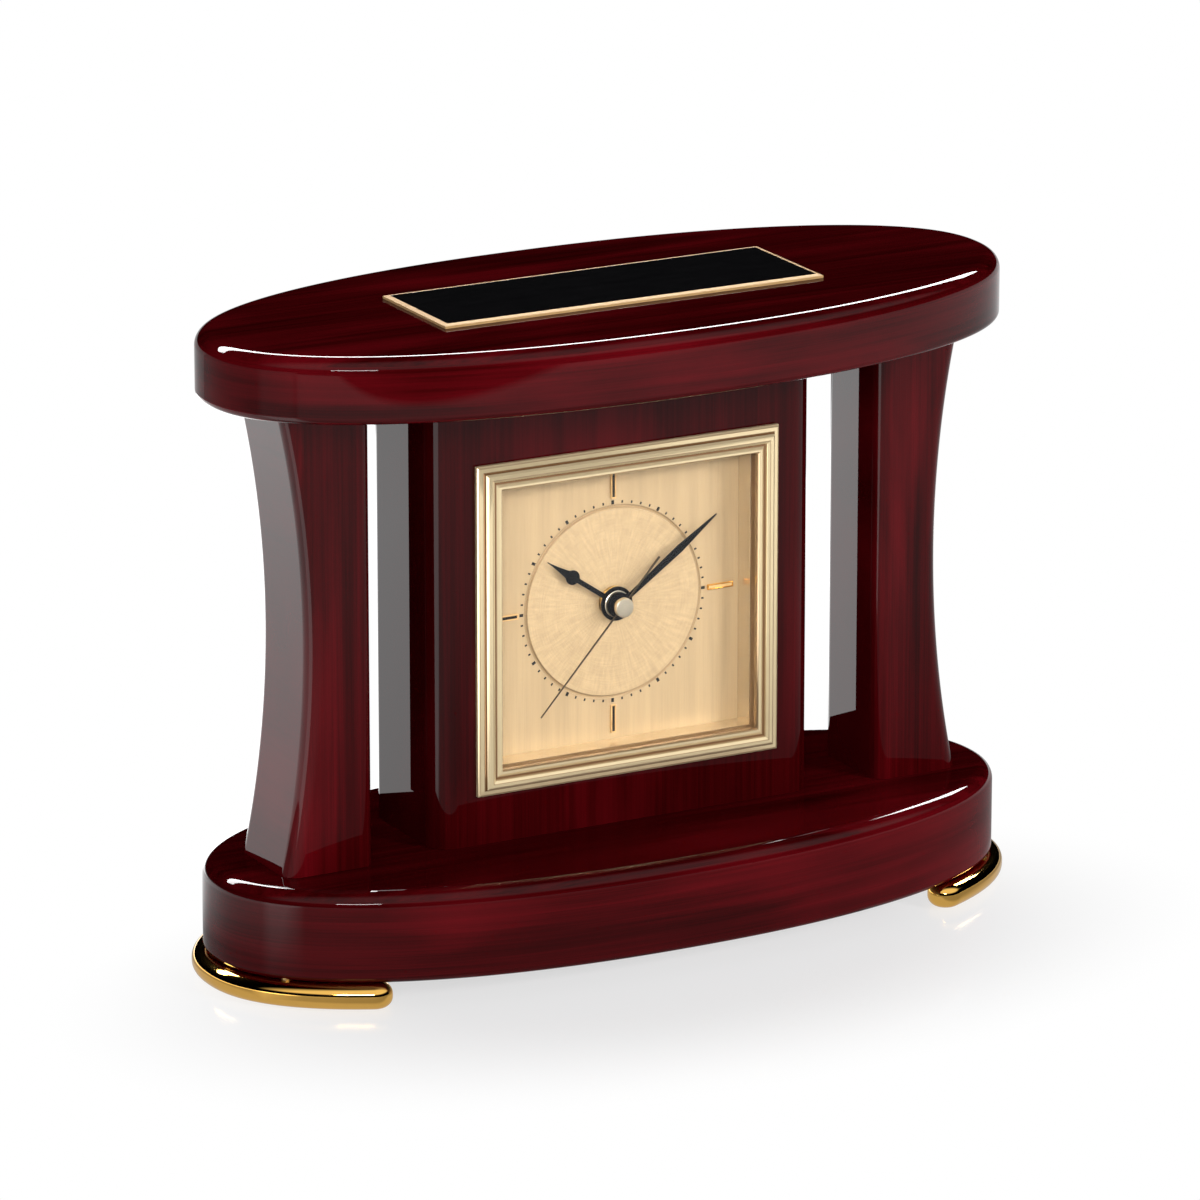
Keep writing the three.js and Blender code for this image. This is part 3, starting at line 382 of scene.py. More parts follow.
# Dial plate: brushed upright outside the ring groove, and in circles inside it, with rays of painted sheen
# on the disc and painted shade in the groove
def brushed_dial():
    shader = new_shader("brushed_dial")
    x, _, z = shader.split(shader.here(centre=DIAL_CENTRE))
    radius = hypotenuse(x, z)
    angle = shader.maths("ARCTAN2", z, x)

    def on_disc(around, outward):
        parts = {0: around[0] * around[1], 1: outward[0] * outward[1], 2: 0.0}
        return shader.node("CombineXYZ", parts).outputs[0]

    def streaked(where, detail, roughness, low, high):
        return shader.ramp(shader.noise(where, detail, roughness), (low, 0), (high, 1))

    upright = streaked((3200, 1, 60), 4, 0.7, 0.32, 0.68)
    bands = streaked((420, 1, 14), 3, 0.55, 0.32, 0.68)
    circles = streaked(on_disc((radius, 3600), (angle, 3)), 4, 0.75, 0.35, 0.65)
    # Painted sheen: rays of light and dark round the disc, like those that circular brushing throws under
    # light
    rays = streaked(on_disc((angle, 24), (radius, 260)), 3, 0.6, 0.4, 0.68)
    clouds = streaked(shader.here((260, 1, 260), centre=DIAL_CENTRE), 3, 0.6, 0.35, 0.65)
    sizes = bpy.context.scene.clock_sizes
    inside = radius < sizes.disc_radius
    half_groove = sizes.groove_width / 2
    # Painted shade: the ring groove's colour is darkened to brown
    groove_shade_mask = (radius - sizes.disc_radius - half_groove).absolute() < half_groove
    brushing = shader.blend(inside, upright * 0.5 + bands * 0.5, circles * 0.4 + clouds * 0.2 + rays * 0.4)
    shade = chosen("dial")
    outer_shade = shader.mix(brushing, scaled(shade, 0.8), shade)
    inner_shade = shader.mix(brushing, scaled(shade, 0.8), scaled(shade, 1.16))
    plate = shader.mix(inside, outer_shade, inner_shade)
    return shader.finish(
        Base_Color=shader.mix(groove_shade_mask * 0.45, plate, (0.2, 0.11, 0.04)),
        Metallic=0.35,
        Roughness=0.4 + 0.14 * brushing,
        Normal=shader.bump(brushing, 0.02 * MM, 0.4))


# Glass that lets the light through to the dial
def clear_glass():
    shader = new_shader("clear_glass")
    smear = shader.noise(60, 2)
    pane = shader.surface(Base_Color=(1, 1, 1, 1), Roughness=0.004 * smear, IOR=1.2, Transmission_Weight=1.0)
    open_air = shader.node("BsdfTransparent").outputs[0]
    shadow = shader.node("LightPath").outputs["Is Shadow Ray"]
    return shader.output(shader.blend_shaders(shadow, pane, open_air))


def black_field():
    shader = new_shader("black_field")
    cloud = shader.noise((120, 400, 120), 4, 0.6)
    shade = chosen("black")
    return shader.finish(
        Base_Color=shader.mix(cloud, shade, scaled(shade, 2.2)),
        Roughness=0.05 + 0.05 * cloud,
        Specular_IOR_Level=0.3)


def painted(name, shade, roughness, grain, depth, shine=0.5):
    """Paint or moulded plastic, with a fine texture of the given grain size and depth in millimetres."""
    shader = new_shader(name)
    texture = shader.noise(1 / (grain * MM), 3, 0.6)
    cloud = shader.noise(90, 3, 0.5)
    return shader.finish(
        Base_Color=shader.mix(cloud, scaled(shade, 0.8), shade),
        Roughness=roughness + 0.1 * (texture - 0.5),
        Normal=shader.bump(texture, depth * MM, 0.5),
        Specular_IOR_Level=shine)


def brushed_metal(name, shade, scale):
    """Rolled or turned metal with lines along the axis of the small scale."""
    shader = new_shader(name)
    lines = shader.noise(scale, 4, 0.65)
    return shader.finish(
        Base_Color=shader.mix(lines, scaled(shade, 0.82), shade),
        Metallic=1.0,
        Roughness=0.26 + 0.14 * lines,
        Normal=shader.bump(lines, 0.01 * MM, 0.3))


# Enamelled wire, wound in layers across the coil, with painted shade where the turns meet and a painted
# highlight on their crowns
def wound_wire():
    shader = new_shader("wound_wire")
    wire = 0.06 * MM
    turns = shader.waves(shader.split(shader.here())[2], wire)
    return shader.finish(
        # Painted shade between the turns and painted highlight on their crowns
        Base_Color=shader.mix(turns, (0.32, 0.09, 0.03), (0.72, 0.3, 0.12)),
        Metallic=0.9,
        Roughness=0.4 - 0.15 * turns,
        Normal=shader.bump(turns, 0.03 * MM, 0.6))


# Solder resist with faint tracks under it
def solder_resist():
    shader = new_shader("solder_resist")
    x, _, z = shader.split(shader.here())
    spacing = 0.8 * MM
    tracks = shader.ramp(shader.waves(x + z, spacing), (0.72, 0), (0.8, 1))
    return shader.finish(
        Base_Color=shader.mix(tracks, (0.008, 0.09, 0.03), (0.02, 0.2, 0.07)),
        Roughness=0.32 - 0.08 * tracks,
        Normal=shader.bump(tracks, 0.03 * MM, 0.5))


# Cell jacket: dark film with a gold end
def cell_jacket():
    shader = new_shader("cell_jacket")
    gold_end = shader.split(shader.here())[0] > 13 * MM
    wear = shader.noise(300, 4, 0.6)
    film = shader.mix(wear, (0.012, 0.013, 0.016), (0.022, 0.024, 0.03))
    return shader.finish(
        Base_Color=shader.mix(gold_end, film, (0.42, 0.25, 0.08)),
        Metallic=0.5 * gold_end,
        Roughness=0.28 + 0.1 * wear)


def bare_wood():
    shader = new_shader("bare_beech")
    grain = shader.noise((1400, 1400, 60), 4, 0.6, 0.3)
    return shader.finish(
        Base_Color=shader.mix(grain, (0.42, 0.25, 0.12), (0.62, 0.42, 0.24)),
        Roughness=0.6 + 0.15 * grain,
        Normal=shader.bump(grain, 0.05 * MM, 0.5))


LINES_ALONG = {"x": (60, 1800, 1800), "y": (1800, 60, 1800), "z": (1800, 1800, 60)}
MAKERS = {
    "lacquer": (lacquer, "lacquer_upright", (0, QUARTER_TURN, 0)),
    "lacquer_lengthwise": (lacquer, "lacquer_lengthwise", (0, 0, 0)),
    # The case's copy of the lacquer is painted darker, as painted shade
    "lacquer_case": (lacquer, "lacquer_case", (0, QUARTER_TURN, 0), 0.6),
    "gold": (lambda: plated("gilt", chosen("gold"), 0.06, 0.02),),
    "champagne": (bezel_plate,),
    "satin_champagne": (plated, "satin_champagne", (0.7, 0.59, 0.42), 0.22, 0.1, 0.8),
    "border": (border,),
    # Black paint in the markers' sunken fields, a painted shade
    "infill": (painted, "black_infill", (0.012, 0.01, 0.008), 0.3, 0.1, 0.002, 0.2),
    "second_hand": (brushed_metal, "dark_steel", (0.11, 0.09, 0.065), LINES_ALONG["y"]),
    "dial": (brushed_dial,),
    "glass": (clear_glass,),
    "black_plate": (black_field,),
    "black_paint": (painted, "black_paint", (0.006, 0.0065, 0.008), 0.3, 0.12, 0.004, 0.16),
    "dial_print": (painted, "dial_print", (0.01, 0.01, 0.01), 0.5, 0.1, 0.003, 0.2),
    "seal": (painted, "seal_rubber", (0.16, 0.085, 0.03), 0.6, 0.2, 0.02),
    "black_plastic": (painted, "black_moulding", (0.018, 0.018, 0.02), 0.5, 0.25, 0.03),
    "white_plastic": (painted, "white_moulding", (0.72, 0.7, 0.64), 0.45, 0.3, 0.01),
    "steel": (brushed_metal, "zinc_steel", (0.58, 0.59, 0.61), LINES_ALONG["x"]),
    "brass": (brushed_metal, "turned_brass", (0.72, 0.52, 0.24), LINES_ALONG["y"]),
    "pale_brass": (brushed_metal, "pale_brass", (0.86, 0.76, 0.58), LINES_ALONG["z"]),
    "copper": (wound_wire,),
    "board": (solder_resist,),
    "cell": (cell_jacket,),
    "beech": (bare_wood,),
}
made_finishes = {}


def finish(name):
    if name not in made_finishes:
        maker, *settings = MAKERS[name]
        made_finishes[name] = maker(*settings)
    return made_finishes[name]


# Pieces
def object_of(name, bm):
    mesh = bpy.data.meshes.new(name)
    bm.to_mesh(mesh)
    bm.free()
    made = bpy.data.objects.new(name, mesh)
    bpy.context.scene.collection.objects.link(made)
    return made


def shade_smooth(mesh):
    for polygon in mesh.polygons:
        polygon.use_smooth = True
    mesh.set_sharp_from_angle(angle=math.radians(32))


def piece(name, bm, finishes, node, replaced=True, facing=True):
    """Makes an object of a bmesh, which rides with a node's body and may replace that node."""
    bmesh.ops.remove_doubles(bm, verts=bm.verts, dist=0.002 * MM)
    if facing:
        bmesh.ops.recalc_face_normals(bm, faces=bm.faces)
    made = object_of(name, bm)
    shade_smooth(made.data)
    for one in finishes:
        made.data.materials.append(finish(one))
    weighted = made.modifiers.new("Weighted normals", "WEIGHTED_NORMAL")
    weighted.keep_sharp = True
    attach(made, frame["nodes"][node]["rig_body"])
    if replaced:
        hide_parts(node)
    return made


def drilled(made, cutters):
    """Cuts solids out of a piece and removes them."""
    for cutter in cutters:
        cut = made.modifiers.new("Cut", "BOOLEAN")
        cut.operation = "DIFFERENCE"
        cut.solver = "MANIFOLD"
        cut.object = cutter
        made.modifiers.move(len(made.modifiers) - 1, 0)
    weighted = made.modifiers["Weighted normals"]
    weighted.show_viewport = False
    bpy.context.view_layer.update()
    evaluated = made.evaluated_get(bpy.context.evaluated_depsgraph_get())
    whole = bpy.data.meshes.new_from_object(evaluated)
    whole.name = made.data.name + "_cut"
    made.data = whole
    weighted.show_viewport = True
    for modifier in [one for one in made.modifiers if one.type == "BOOLEAN"]:
        made.modifiers.remove(modifier)
    shade_smooth(whole)
    for cutter in cutters:
        bpy.data.objects.remove(cutter)


def cutter_from(bm):
    bmesh.ops.recalc_face_normals(bm, faces=bm.faces)
    return object_of("cutter", bm)


def drill(x, y, top, depth, radius, segments):
    """A round cutter that stands upright, with its upper end at the top."""
    bm = bmesh.new()
    bmesh.ops.create_cone(
        bm, cap_ends=True, segments=segments, radius1=radius, radius2=radius, depth=depth,
        matrix=Matrix.Translation((x, y, top - depth / 2)))
    return cutter_from(bm)


def move(bm, by, verts=None):
    bmesh.ops.translate(bm, vec=by, verts=verts or bm.verts)


def rotate(bm, angle, axis, verts=None):
    bmesh.ops.rotate(bm, cent=(0, 0, 0), matrix=Matrix.Rotation(angle, 3, axis), verts=verts or bm.verts)


def extrude_all(bm, by):
    """Draws a flat shape out into a solid."""
    raised = bmesh.ops.extrude_face_region(bm, geom=bm.faces[:])["geom"]
    move(bm, by, [part for part in raised if isinstance(part, bmesh.types.BMVert)])


def slice_through(bm, point, normal, clear_outer=False):
    """Cuts every face at a plane and gives the edges made there."""
    made = bmesh.ops.bisect_plane(
        bm, geom=bm.verts[:] + bm.edges[:] + bm.faces[:], plane_co=point, plane_no=normal,
        clear_outer=clear_outer)["geom_cut"]
    return [part for part in made if isinstance(part, bmesh.types.BMEdge)]


def bevel(bm, edges, width, segments, clamp=True):
    bmesh.ops.bevel(
        bm, geom=list(edges), offset=width, offset_type="OFFSET", segments=segments, profile=0.5,
        affect="EDGES", clamp_overlap=clamp, material=-1)


def edges_at(bm, test):
    return [edge for edge in bm.edges if all(test(vertex.co) for vertex in edge.verts)]


def sharp_edges(bm, from_angle):
    return [edge for edge in bm.edges if edge.calc_face_angle(0) > from_angle]


def near(first, second):
    return abs(first - second) < 0.01 * MM


def upright_edges(bm):
    pairs = ((edge, edge.verts[0].co, edge.verts[1].co) for edge in bm.edges)
    return [edge for edge, first, second in pairs if near(first.x, second.x) and near(first.y, second.y)]


def block(low, high):
    """A box between two corners."""
    bm = bmesh.new()
    bmesh.ops.create_cube(bm, size=1)
    bmesh.ops.scale(bm, vec=high - low, verts=bm.verts)
    move(bm, (low + high) / 2)
    return bm


def turned(profile, segments=96):
    """A profile of (radius, height) pairs turned about Z; it may start and end on the axis."""
    bm = bmesh.new()
    corners = [bm.verts.new((radius, 0, height)) for radius, height in profile]
    ends_on_axis = profile[0][0] == 0
    pairs = zip(corners, corners[1:] if ends_on_axis else corners[1:] + corners[:1])
    edges = [bm.edges.new(pair) for pair in pairs]
    bmesh.ops.spin(
        bm, geom=corners + edges, cent=(0, 0, 0), axis=(0, 0, 1), dvec=(0, 0, 0),
        angle=2 * HALF_TURN, steps=segments, use_merge=True, use_duplicate=False)
    bmesh.ops.remove_doubles(bm, verts=bm.verts, dist=0.001 * MM)
    return bm


def facing_viewer(bm, y):
    """Turns what was made about Z to lie on the dial, with its height towards the viewer."""
    rotate(bm, QUARTER_TURN, "X")
    move(bm, (0, y, DIAL_CENTRE.z))


def copy_of(node):
    """A node's own shape with its loose triangles merged into whole faces."""
    bm = bmesh.new()
    bm.from_mesh(frame["nodes"][node].data)
    bmesh.ops.remove_doubles(bm, verts=bm.verts, dist=0.001 * MM)
    bmesh.ops.dissolve_limit(bm, angle_limit=math.radians(0.5), verts=bm.verts, edges=bm.edges)
    return bm


def eased(name, node, width, finish_name, segments=2, from_angle=math.radians(30)):
    """The node's own shape with its sharp edges eased."""
    bm = copy_of(node)
    bevel(bm, sharp_edges(bm, from_angle), width, segments)
    piece(name, bm, [finish_name], node, facing=False)


# Points of the plates' oval
def powered(value, exponent):
    return math.copysign(abs(value) ** exponent, value)


def oval_point(offset, angle):
    """A point of the oval, moved out from it along its normal."""
    power = bpy.context.scene.clock_sizes.oval_power
    x = powered(math.cos(angle), 2 / power)
    y = powered(math.sin(angle), 2 / power)
    outward = Vector((powered(x, power - 1) / OVAL_HALF.x, powered(y, power - 1) / OVAL_HALF.y, 0))
    return Vector((OVAL_HALF.x * x, OVAL_HALF.y * y, 0)) + outward.normalized() * offset


def oval_plate(node):
    sizes = bpy.context.scene.clock_sizes
    low, high = low_of(node).z, high_of(node).z
    bm = bmesh.new()
    bmesh.ops.create_circle(bm, cap_ends=True, radius=1, segments=288)
    for vertex in bm.verts:
        vertex.co = oval_point(0, math.atan2(vertex.co.y, vertex.co.x))
    move(bm, (0, 0, low))
    extrude_all(bm, (0, 0, high - low))
    bevel(bm, edges_at(bm, lambda co: near(co.z, high)), sizes.upper_rim, 12)
    bevel(bm, edges_at(bm, lambda co: near(co.z, low)), sizes.lower_rim, 8)
    return piece(node + "_lacquered", bm, ["lacquer_lengthwise"], node)


class CLOCK_OT_plates(bpy.types.Operator):
    """Builds the oval top and base plates with their rounded rims and the screw holes below"""

    bl_idname = "award_clock.plates"
    bl_label = "Plates"

    def execute(self, context):
        oval_plate("top_plate")
        base = oval_plate("base_plate")
        hole_depth, clearance, overlap = 2.6 * MM, 0.15 * MM, 1 * MM
        cutters = []
        for node in [name for name in frame["nodes"] if name.startswith("base_screw")]:
            low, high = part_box(node)
            at = middle_of(node)
            top = low.z + hole_depth
            depth = top - low_of("base_plate").z + overlap
            cutters.append(drill(at.x, at.y, top, depth, (high.x - low.x) / 2 + clearance, 48))
        drilled(base, cutters)
        return {"FINISHED"}


# Columns
def column(node, side):
    sizes = bpy.context.scene.clock_sizes
    low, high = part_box(node)
    inner, outer = sorted((abs(low.x), abs(high.x)))
    height = high.z - low.z
    reach = height / 2 + 2 * sizes.column_edge
    radius = (height * height / 4 + sizes.waist * sizes.waist) / (2 * sizes.waist)
    bm = bmesh.new()
    bmesh.ops.create_grid(bm, x_segments=1, y_segments=72, size=1)
    for vertex in bm.verts:
        across = (vertex.co.x + 1) / 2
        up = vertex.co.y * reach
        curved = outer - sizes.waist + radius - math.sqrt(radius * radius - up * up)
        x = inner + across * (curved - inner)
        vertex.co = (side * x, low.y, (low.z + high.z) / 2 + up)
    extrude_all(bm, (0, high.y - low.y, 0))
    bmesh.ops.recalc_face_normals(bm, faces=bm.faces)
    upright = [edge for edge in sharp_edges(bm, SHARP) if not near(edge.verts[0].co.z, edge.verts[1].co.z)]
    bevel(bm, upright, sizes.column_edge, 10)
    for level, direction in ((low.z, -1), (high.z, 1)):
        rim = slice_through(bm, (0, 0, level), (0, 0, direction), clear_outer=True)
        bmesh.ops.edgeloop_fill(bm, edges=rim)
    return bm


class CLOCK_OT_columns(bpy.types.Operator):
    """Builds the two columns, whose outer side is an arc drawn in at the waist"""

    bl_idname = "award_clock.columns"
    bl_label = "Columns"

    def execute(self, context):
        for name, side in (("left", -1), ("right", 1)):
            node = name + "_column"
            piece(node + "_lacquered", column(node, side), ["lacquer"], node)
        return {"FINISHED"}


class CLOCK_OT_case(bpy.types.Operator):
    """Builds the upright case with its rounded edges and the square hole for the insert"""

    bl_idname = "award_clock.case"
    bl_label = "Case"

    def execute(self, context):
        sizes = context.scene.clock_sizes
        low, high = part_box("clock_case")
        bm = block(low, high)
        half = sizes.insert_hole / 2
        front = [edge for edge in upright_edges(bm) if near(edge.verts[0].co.y, low.y)]
        bevel(bm, front, sizes.case_front_edge, 14)
        rear = [edge for edge in upright_edges(bm) if near(edge.verts[0].co.y, high.y)]
        bevel(bm, rear, sizes.case_rear_edge, 8)
        for side in (-half, half):
            slice_through(bm, (side, 0, 0), (1, 0, 0))
        for side in (-half, half):
            slice_through(bm, (0, 0, DIAL_CENTRE.z + side), (0, 0, 1))
        hole = []
        for face in bm.faces:
            middle = face.calc_center_median() - DIAL_CENTRE
            if max(abs(middle.x), abs(middle.z)) < half and abs(face.normal.y) > 0.9:
                hole.append(face)
        rims = [edge for face in hole for edge in face.edges]
        bmesh.ops.delete(bm, geom=hole, context="FACES_ONLY")
        bmesh.ops.bridge_loops(bm, edges=rims)
        by_hole, rim_edge = half + 1 * MM, 0.4 * MM
        rear_rim = edges_at(
            bm, lambda co: near(co.y, high.y) and max(abs(co.x), abs(co.z - DIAL_CENTRE.z)) < by_hole)
        bevel(bm, rear_rim, rim_edge, 3)
        piece("clock_case_lacquered", bm, ["lacquer_case"], "clock_case")
        return {"FINISHED"}


# Feet
def distances(offset, sweep):
    """Pairs of a distance along the foot's middle line and the oval's angle there."""
    steps = 240
    angles = [sweep * step / steps for step in range(steps + 1)]
    total, pairs = 0.0, [(0.0, 0.0)]
    for first, second in zip(angles, angles[1:]):
        total += (oval_point(offset, second) - oval_point(offset, first)).length
        pairs.append((total, second))
    return pairs


def angle_at(pairs, distance):
    for (near_by, first), (far, second) in zip(pairs, pairs[1:]):
        if distance <= far:
            return first + (second - first) * (distance - near_by) / (far - near_by)
    return pairs[-1][1]


def foot(node, side):
    sizes = bpy.context.scene.clock_sizes
    low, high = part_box(node)
    half_width = sizes.foot_width / 2
    middle = sizes.foot_proud - half_width
    beyond_end = 1.25
    pairs = distances(middle, sizes.foot_sweep * beyond_end)
    length = next(total for total, angle in pairs if angle >= sizes.foot_sweep)
    corner = Vector((length + half_width, half_width, 0))
    bm = block(Vector((0, 0, low.z)) - corner, Vector((0, 0, high.z)) + corner)
    nearly_half = half_width * 0.998
    bevel(bm, upright_edges(bm), nearly_half, 14)
    for level in (low.z, high.z):
        bevel(bm, edges_at(bm, lambda co: near(co.z, level)), sizes.foot_edge, 10, clamp=False)
    stations = 72
    for station in range(1, stations):
        slice_through(bm, (length * (2 * station / stations - 1), 0, 0), (1, 0, 0))
    for vertex in bm.verts:
        angle = math.copysign(angle_at(pairs, abs(vertex.co.x)), vertex.co.x)
        at = oval_point(middle - vertex.co.y, angle)
        vertex.co = (side * at.x, at.y, vertex.co.z)
    return bm


class CLOCK_OT_feet(bpy.types.Operator):
    """Builds the two gilt crescents that follow the ends of the base"""

    bl_idname = "award_clock.feet"
    bl_label = "Feet"

    def execute(self, context):
        hole_top, hole_radius = 2.15 * MM, 2.05 * MM
        for name, side in (("left", -1), ("right", 1)):
            node = name + "_foot"
            made = piece(node + "_gilt", foot(node, side), ["gold"], node)
            screws = [middle_of("foot_screw_%s_%s" % (name, end)) for end in ("front", "rear")]
            drilled(made, [drill(at.x, at.y, hole_top, 2 * hole_top, hole_radius, 40) for at in screws])
        return {"FINISHED"}


class CLOCK_OT_name_plate(bpy.types.Operator):
    """Builds the bare black name plate with its bevelled gilt border"""

    bl_idname = "award_clock.name_plate"
    bl_label = "Name plate"

    def execute(self, context):
        border = context.scene.clock_sizes.plate_border
        fall, step_width, step_depth, ease = 0.3 * MM, 0.18 * MM, 0.08 * MM, 0.05 * MM
        low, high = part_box("name_plate")
        bm = block(low, high)
        top = [face for face in bm.faces if face.normal.z > 0.9]
        bmesh.ops.inset_region(bm, faces=top, thickness=border, depth=0)
        for vertex in bm.verts:
            on_rim = near(abs(vertex.co.x), high.x) or near(abs(vertex.co.y), high.y)
            if on_rim and near(vertex.co.z, high.z):
                vertex.co.z -= fall
        bmesh.ops.inset_region(bm, faces=top, thickness=step_width, depth=-step_depth)
        for face in bm.faces:
            face.material_index = 1 if face in top else 0
        sharp = [edge for edge in sharp_edges(bm, math.radians(11.5)) if edge.verts[0].co.z > low.z]
        bevel(bm, sharp, ease, 2)
        piece("name_plate_bare", bm, ["border", "black_plate"], "name_plate")
        return {"FINISHED"}


class CLOCK_OT_insert(bpy.types.Operator):
    """Builds the stepped bezel, the glass and the walls behind it"""

    bl_idname = "award_clock.insert"
    bl_label = "Insert"

    def execute(self, context):
        eased("bezel_polished", "bezel", 0.09 * MM, "champagne", 3, math.radians(12))
        eased("crystal_polished", "crystal", 0.04 * MM, "glass", 2, math.radians(12))
        eased("dial_surround_satin", "dial_surround", 0.05 * MM, "satin_champagne")
        return {"FINISHED"}


# Dial and markers
def plate(sizes):
    low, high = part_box("dial")
    made = piece("dial_brushed", block(low, high), ["dial"], "dial")
    half = sizes.groove_width / 2
    centre = sizes.disc_radius + half
    above, through, steps = 0.5 * MM, 3 * MM, 8
    section = [(centre + half, above), (centre - half, above)]
    for step in range(steps + 1):
        angle = HALF_TURN + HALF_TURN * step / steps
        section.append((centre + half * math.cos(angle), sizes.groove_depth * math.sin(angle)))
    ring = turned(section, 160)
    hole = turned([(0, -through), (DIAL_HOLE, -through), (DIAL_HOLE, through), (0, through)], 64)
    for cutter in (ring, hole):
        facing_viewer(cutter, low.y)
    drilled(made, [cutter_from(ring), cutter_from(hole)])


def disc(sizes):
    radius, thickness, edge, under = sizes.disc_radius, sizes.disc_thickness, 0.12 * MM, 0.02 * MM
    bm = turned([
        (DIAL_HOLE, under), (radius, under), (radius, thickness - edge),
        (radius - edge * 0.3, thickness - edge * 0.3), (radius - edge, thickness),
        (DIAL_HOLE, thickness)], 160)
    facing_viewer(bm, DIAL_FRONT)
    piece("dial_disc", bm, ["dial"], "dial", replaced=False)


def track(sizes):
    """Dashes for the minutes, of which every fifth is larger; their half sizes are in millimetres."""
    bm = bmesh.new()
    half_thickness = 0.012 * MM
    for minute in range(sizes.minutes):
        half_width, half_length = (0.3, 0.42) if minute % 5 == 0 else (0.18, 0.27)
        made = bmesh.ops.create_cube(bm, size=2)["verts"]
        bmesh.ops.scale(bm, vec=(half_width * MM, half_thickness, half_length * MM), verts=made)
        move(bm, (0, 0, sizes.track_radius), made)
        rotate(bm, 2 * HALF_TURN * minute / sizes.minutes, "Y", made)
    move(bm, (0, DIAL_FRONT - half_thickness, DIAL_CENTRE.z))
    piece("minute_track", bm, ["dial_print"], "dial", replaced=False)


def marker(hour):
    """A framed baton, whose sunken field is painted black as painted shade, and at 3 is pale inside a
    mirror-gold frame as a painted highlight.
    """
    node = "marker_%d" % hour
    low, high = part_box(node)
    bm = block(low, high)
    frame_width, wall, sunk, ease = 0.3 * MM, 0.04 * MM, 0.2 * MM, 0.07 * MM
    front = [face for face in bm.faces if face.normal.y < -0.9]
    bmesh.ops.inset_region(bm, faces=front, thickness=frame_width, depth=0)
    bmesh.ops.inset_region(bm, faces=front, thickness=wall, depth=-sunk)
    for face in front:
        face.material_index = 1
    by_front = high.y - 0.1 * MM
    sharp = [edge for edge in sharp_edges(bm, SHARP) if edge.verts[0].co.y < by_front]
    bevel(bm, sharp, ease, 2)
    # Painted shade in the sunken fields, and a painted highlight in the field at 3
    looks = ["gold", "border"] if hour == 3 else ["border", "infill"]
    piece(node + "_framed", bm, looks, node)


class CLOCK_OT_dial(bpy.types.Operator):
    """Builds the dial with its ring groove and disc, the minute track and the applied markers"""

    bl_idname = "award_clock.dial"
    bl_label = "Dial"

    def execute(self, context):
        sizes = context.scene.clock_sizes
        plate(sizes)
        disc(sizes)
        track(sizes)
        for hour in (12, 3, 6, 9):
            marker(hour)
        return {"FINISHED"}


# Hands
def blade(outline, thickness):
    """A flat blade along +Y from pairs of a distance from the centre and the half width there."""
    bm = bmesh.new()
    count = len(outline) - 1
    bmesh.ops.create_grid(bm, x_segments=1, y_segments=count, size=1)
    for vertex in bm.verts:
        at, half_width = outline[round((vertex.co.y + 1) / 2 * count)]
        vertex.co = (math.copysign(half_width, vertex.co.x), at, 0)
    extrude_all(bm, (0, 0, thickness))
    bmesh.ops.recalc_face_normals(bm, faces=bm.faces)
    return bm


def add_boss(bm, outer, inner, thickness):
    """Adds a boss to a blade, a hair thicker than it."""
    extra = 0.03 * MM
    boss = turned([(inner, -extra), (outer, -extra), (outer, thickness + extra), (inner, thickness + extra)])
    boss_mesh = bpy.data.meshes.new("boss")
    boss.to_mesh(boss_mesh)
    boss.free()
    bm.from_mesh(boss_mesh)
    bpy.data.meshes.remove(boss_mesh)


def hand_thickness():
    """Every hand is as thick as the hour hand."""
    low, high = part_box("hour_hand")
    return high.y - low.y


def hand(node, shape, outline, boss_radius, hole_radius, degrees, look="black_paint"):
    """A blade with its boss, turned to its time and laid in front of the dial."""
    bm = blade(outline, hand_thickness())
    add_boss(bm, boss_radius, hole_radius, hand_thickness())
    rotate(bm, -math.radians(degrees), "Z")
    facing_viewer(bm, high_of(node).y)
    piece(node + "_" + shape, bm, [look], node)


def hour_hand():
    bulb, bulb_at, start, tip, stem, shoulder, point = (
        length * MM for length in (1.5, 12, 3, 18.8, 0.5, 1.15, 0.1))

    def spade(at):
        inside = bulb * bulb - (at - bulb_at) ** 2
        round_part = math.sqrt(inside) if inside > 0 else 0
        if at < bulb_at:
            return max(round_part, stem)
        share = (tip - at) / (tip - bulb_at)
        return max(round_part, point + (shoulder - point) * share ** 1.5)

    stations = [start + (tip - start) * step / 110 for step in range(111)]
    outline = [(at, spade(at)) for at in stations]
    hand("hour_hand", "spade", outline, boss_radius=3.5 * MM, hole_radius=2 * MM, degrees=304.5)


def collet():
    """The brass collet round the hour hand's hole."""
    inner, outer, top, step = 2 * MM, 2.75 * MM, 2.6 * MM, 0.1 * MM
    shoulder = hand_thickness() + step
    bm = turned([
        (inner, 0), (outer, 0), (outer, shoulder), (top, shoulder + step), (inner + step, shoulder + step),
        (inner, shoulder)])
    facing_viewer(bm, high_of("hour_hand").y)
    piece("hour_hand_collet", bm, ["pale_brass"], "hour_hand", replaced=False)


def minute_hand():
    start, stem, widest, widest_at, point, tip = (
        length * MM for length in (2, 0.48, 0.82, 16.9, 0.08, 27.2))

    def lance(at):
        if at < widest_at:
            return stem + (widest - stem) * (at - start) / (widest_at - start)
        return point + (widest - point) * (tip - at) / (tip - widest_at)

    stations = [2.1 * MM, 9 * MM, widest_at - 1 * MM, widest_at, widest_at + 1 * MM, 22 * MM, tip]
    outline = [(at, lance(at)) for at in stations]
    hand("minute_hand", "lance", outline, boss_radius=2.6 * MM, hole_radius=1.35 * MM, degrees=54)


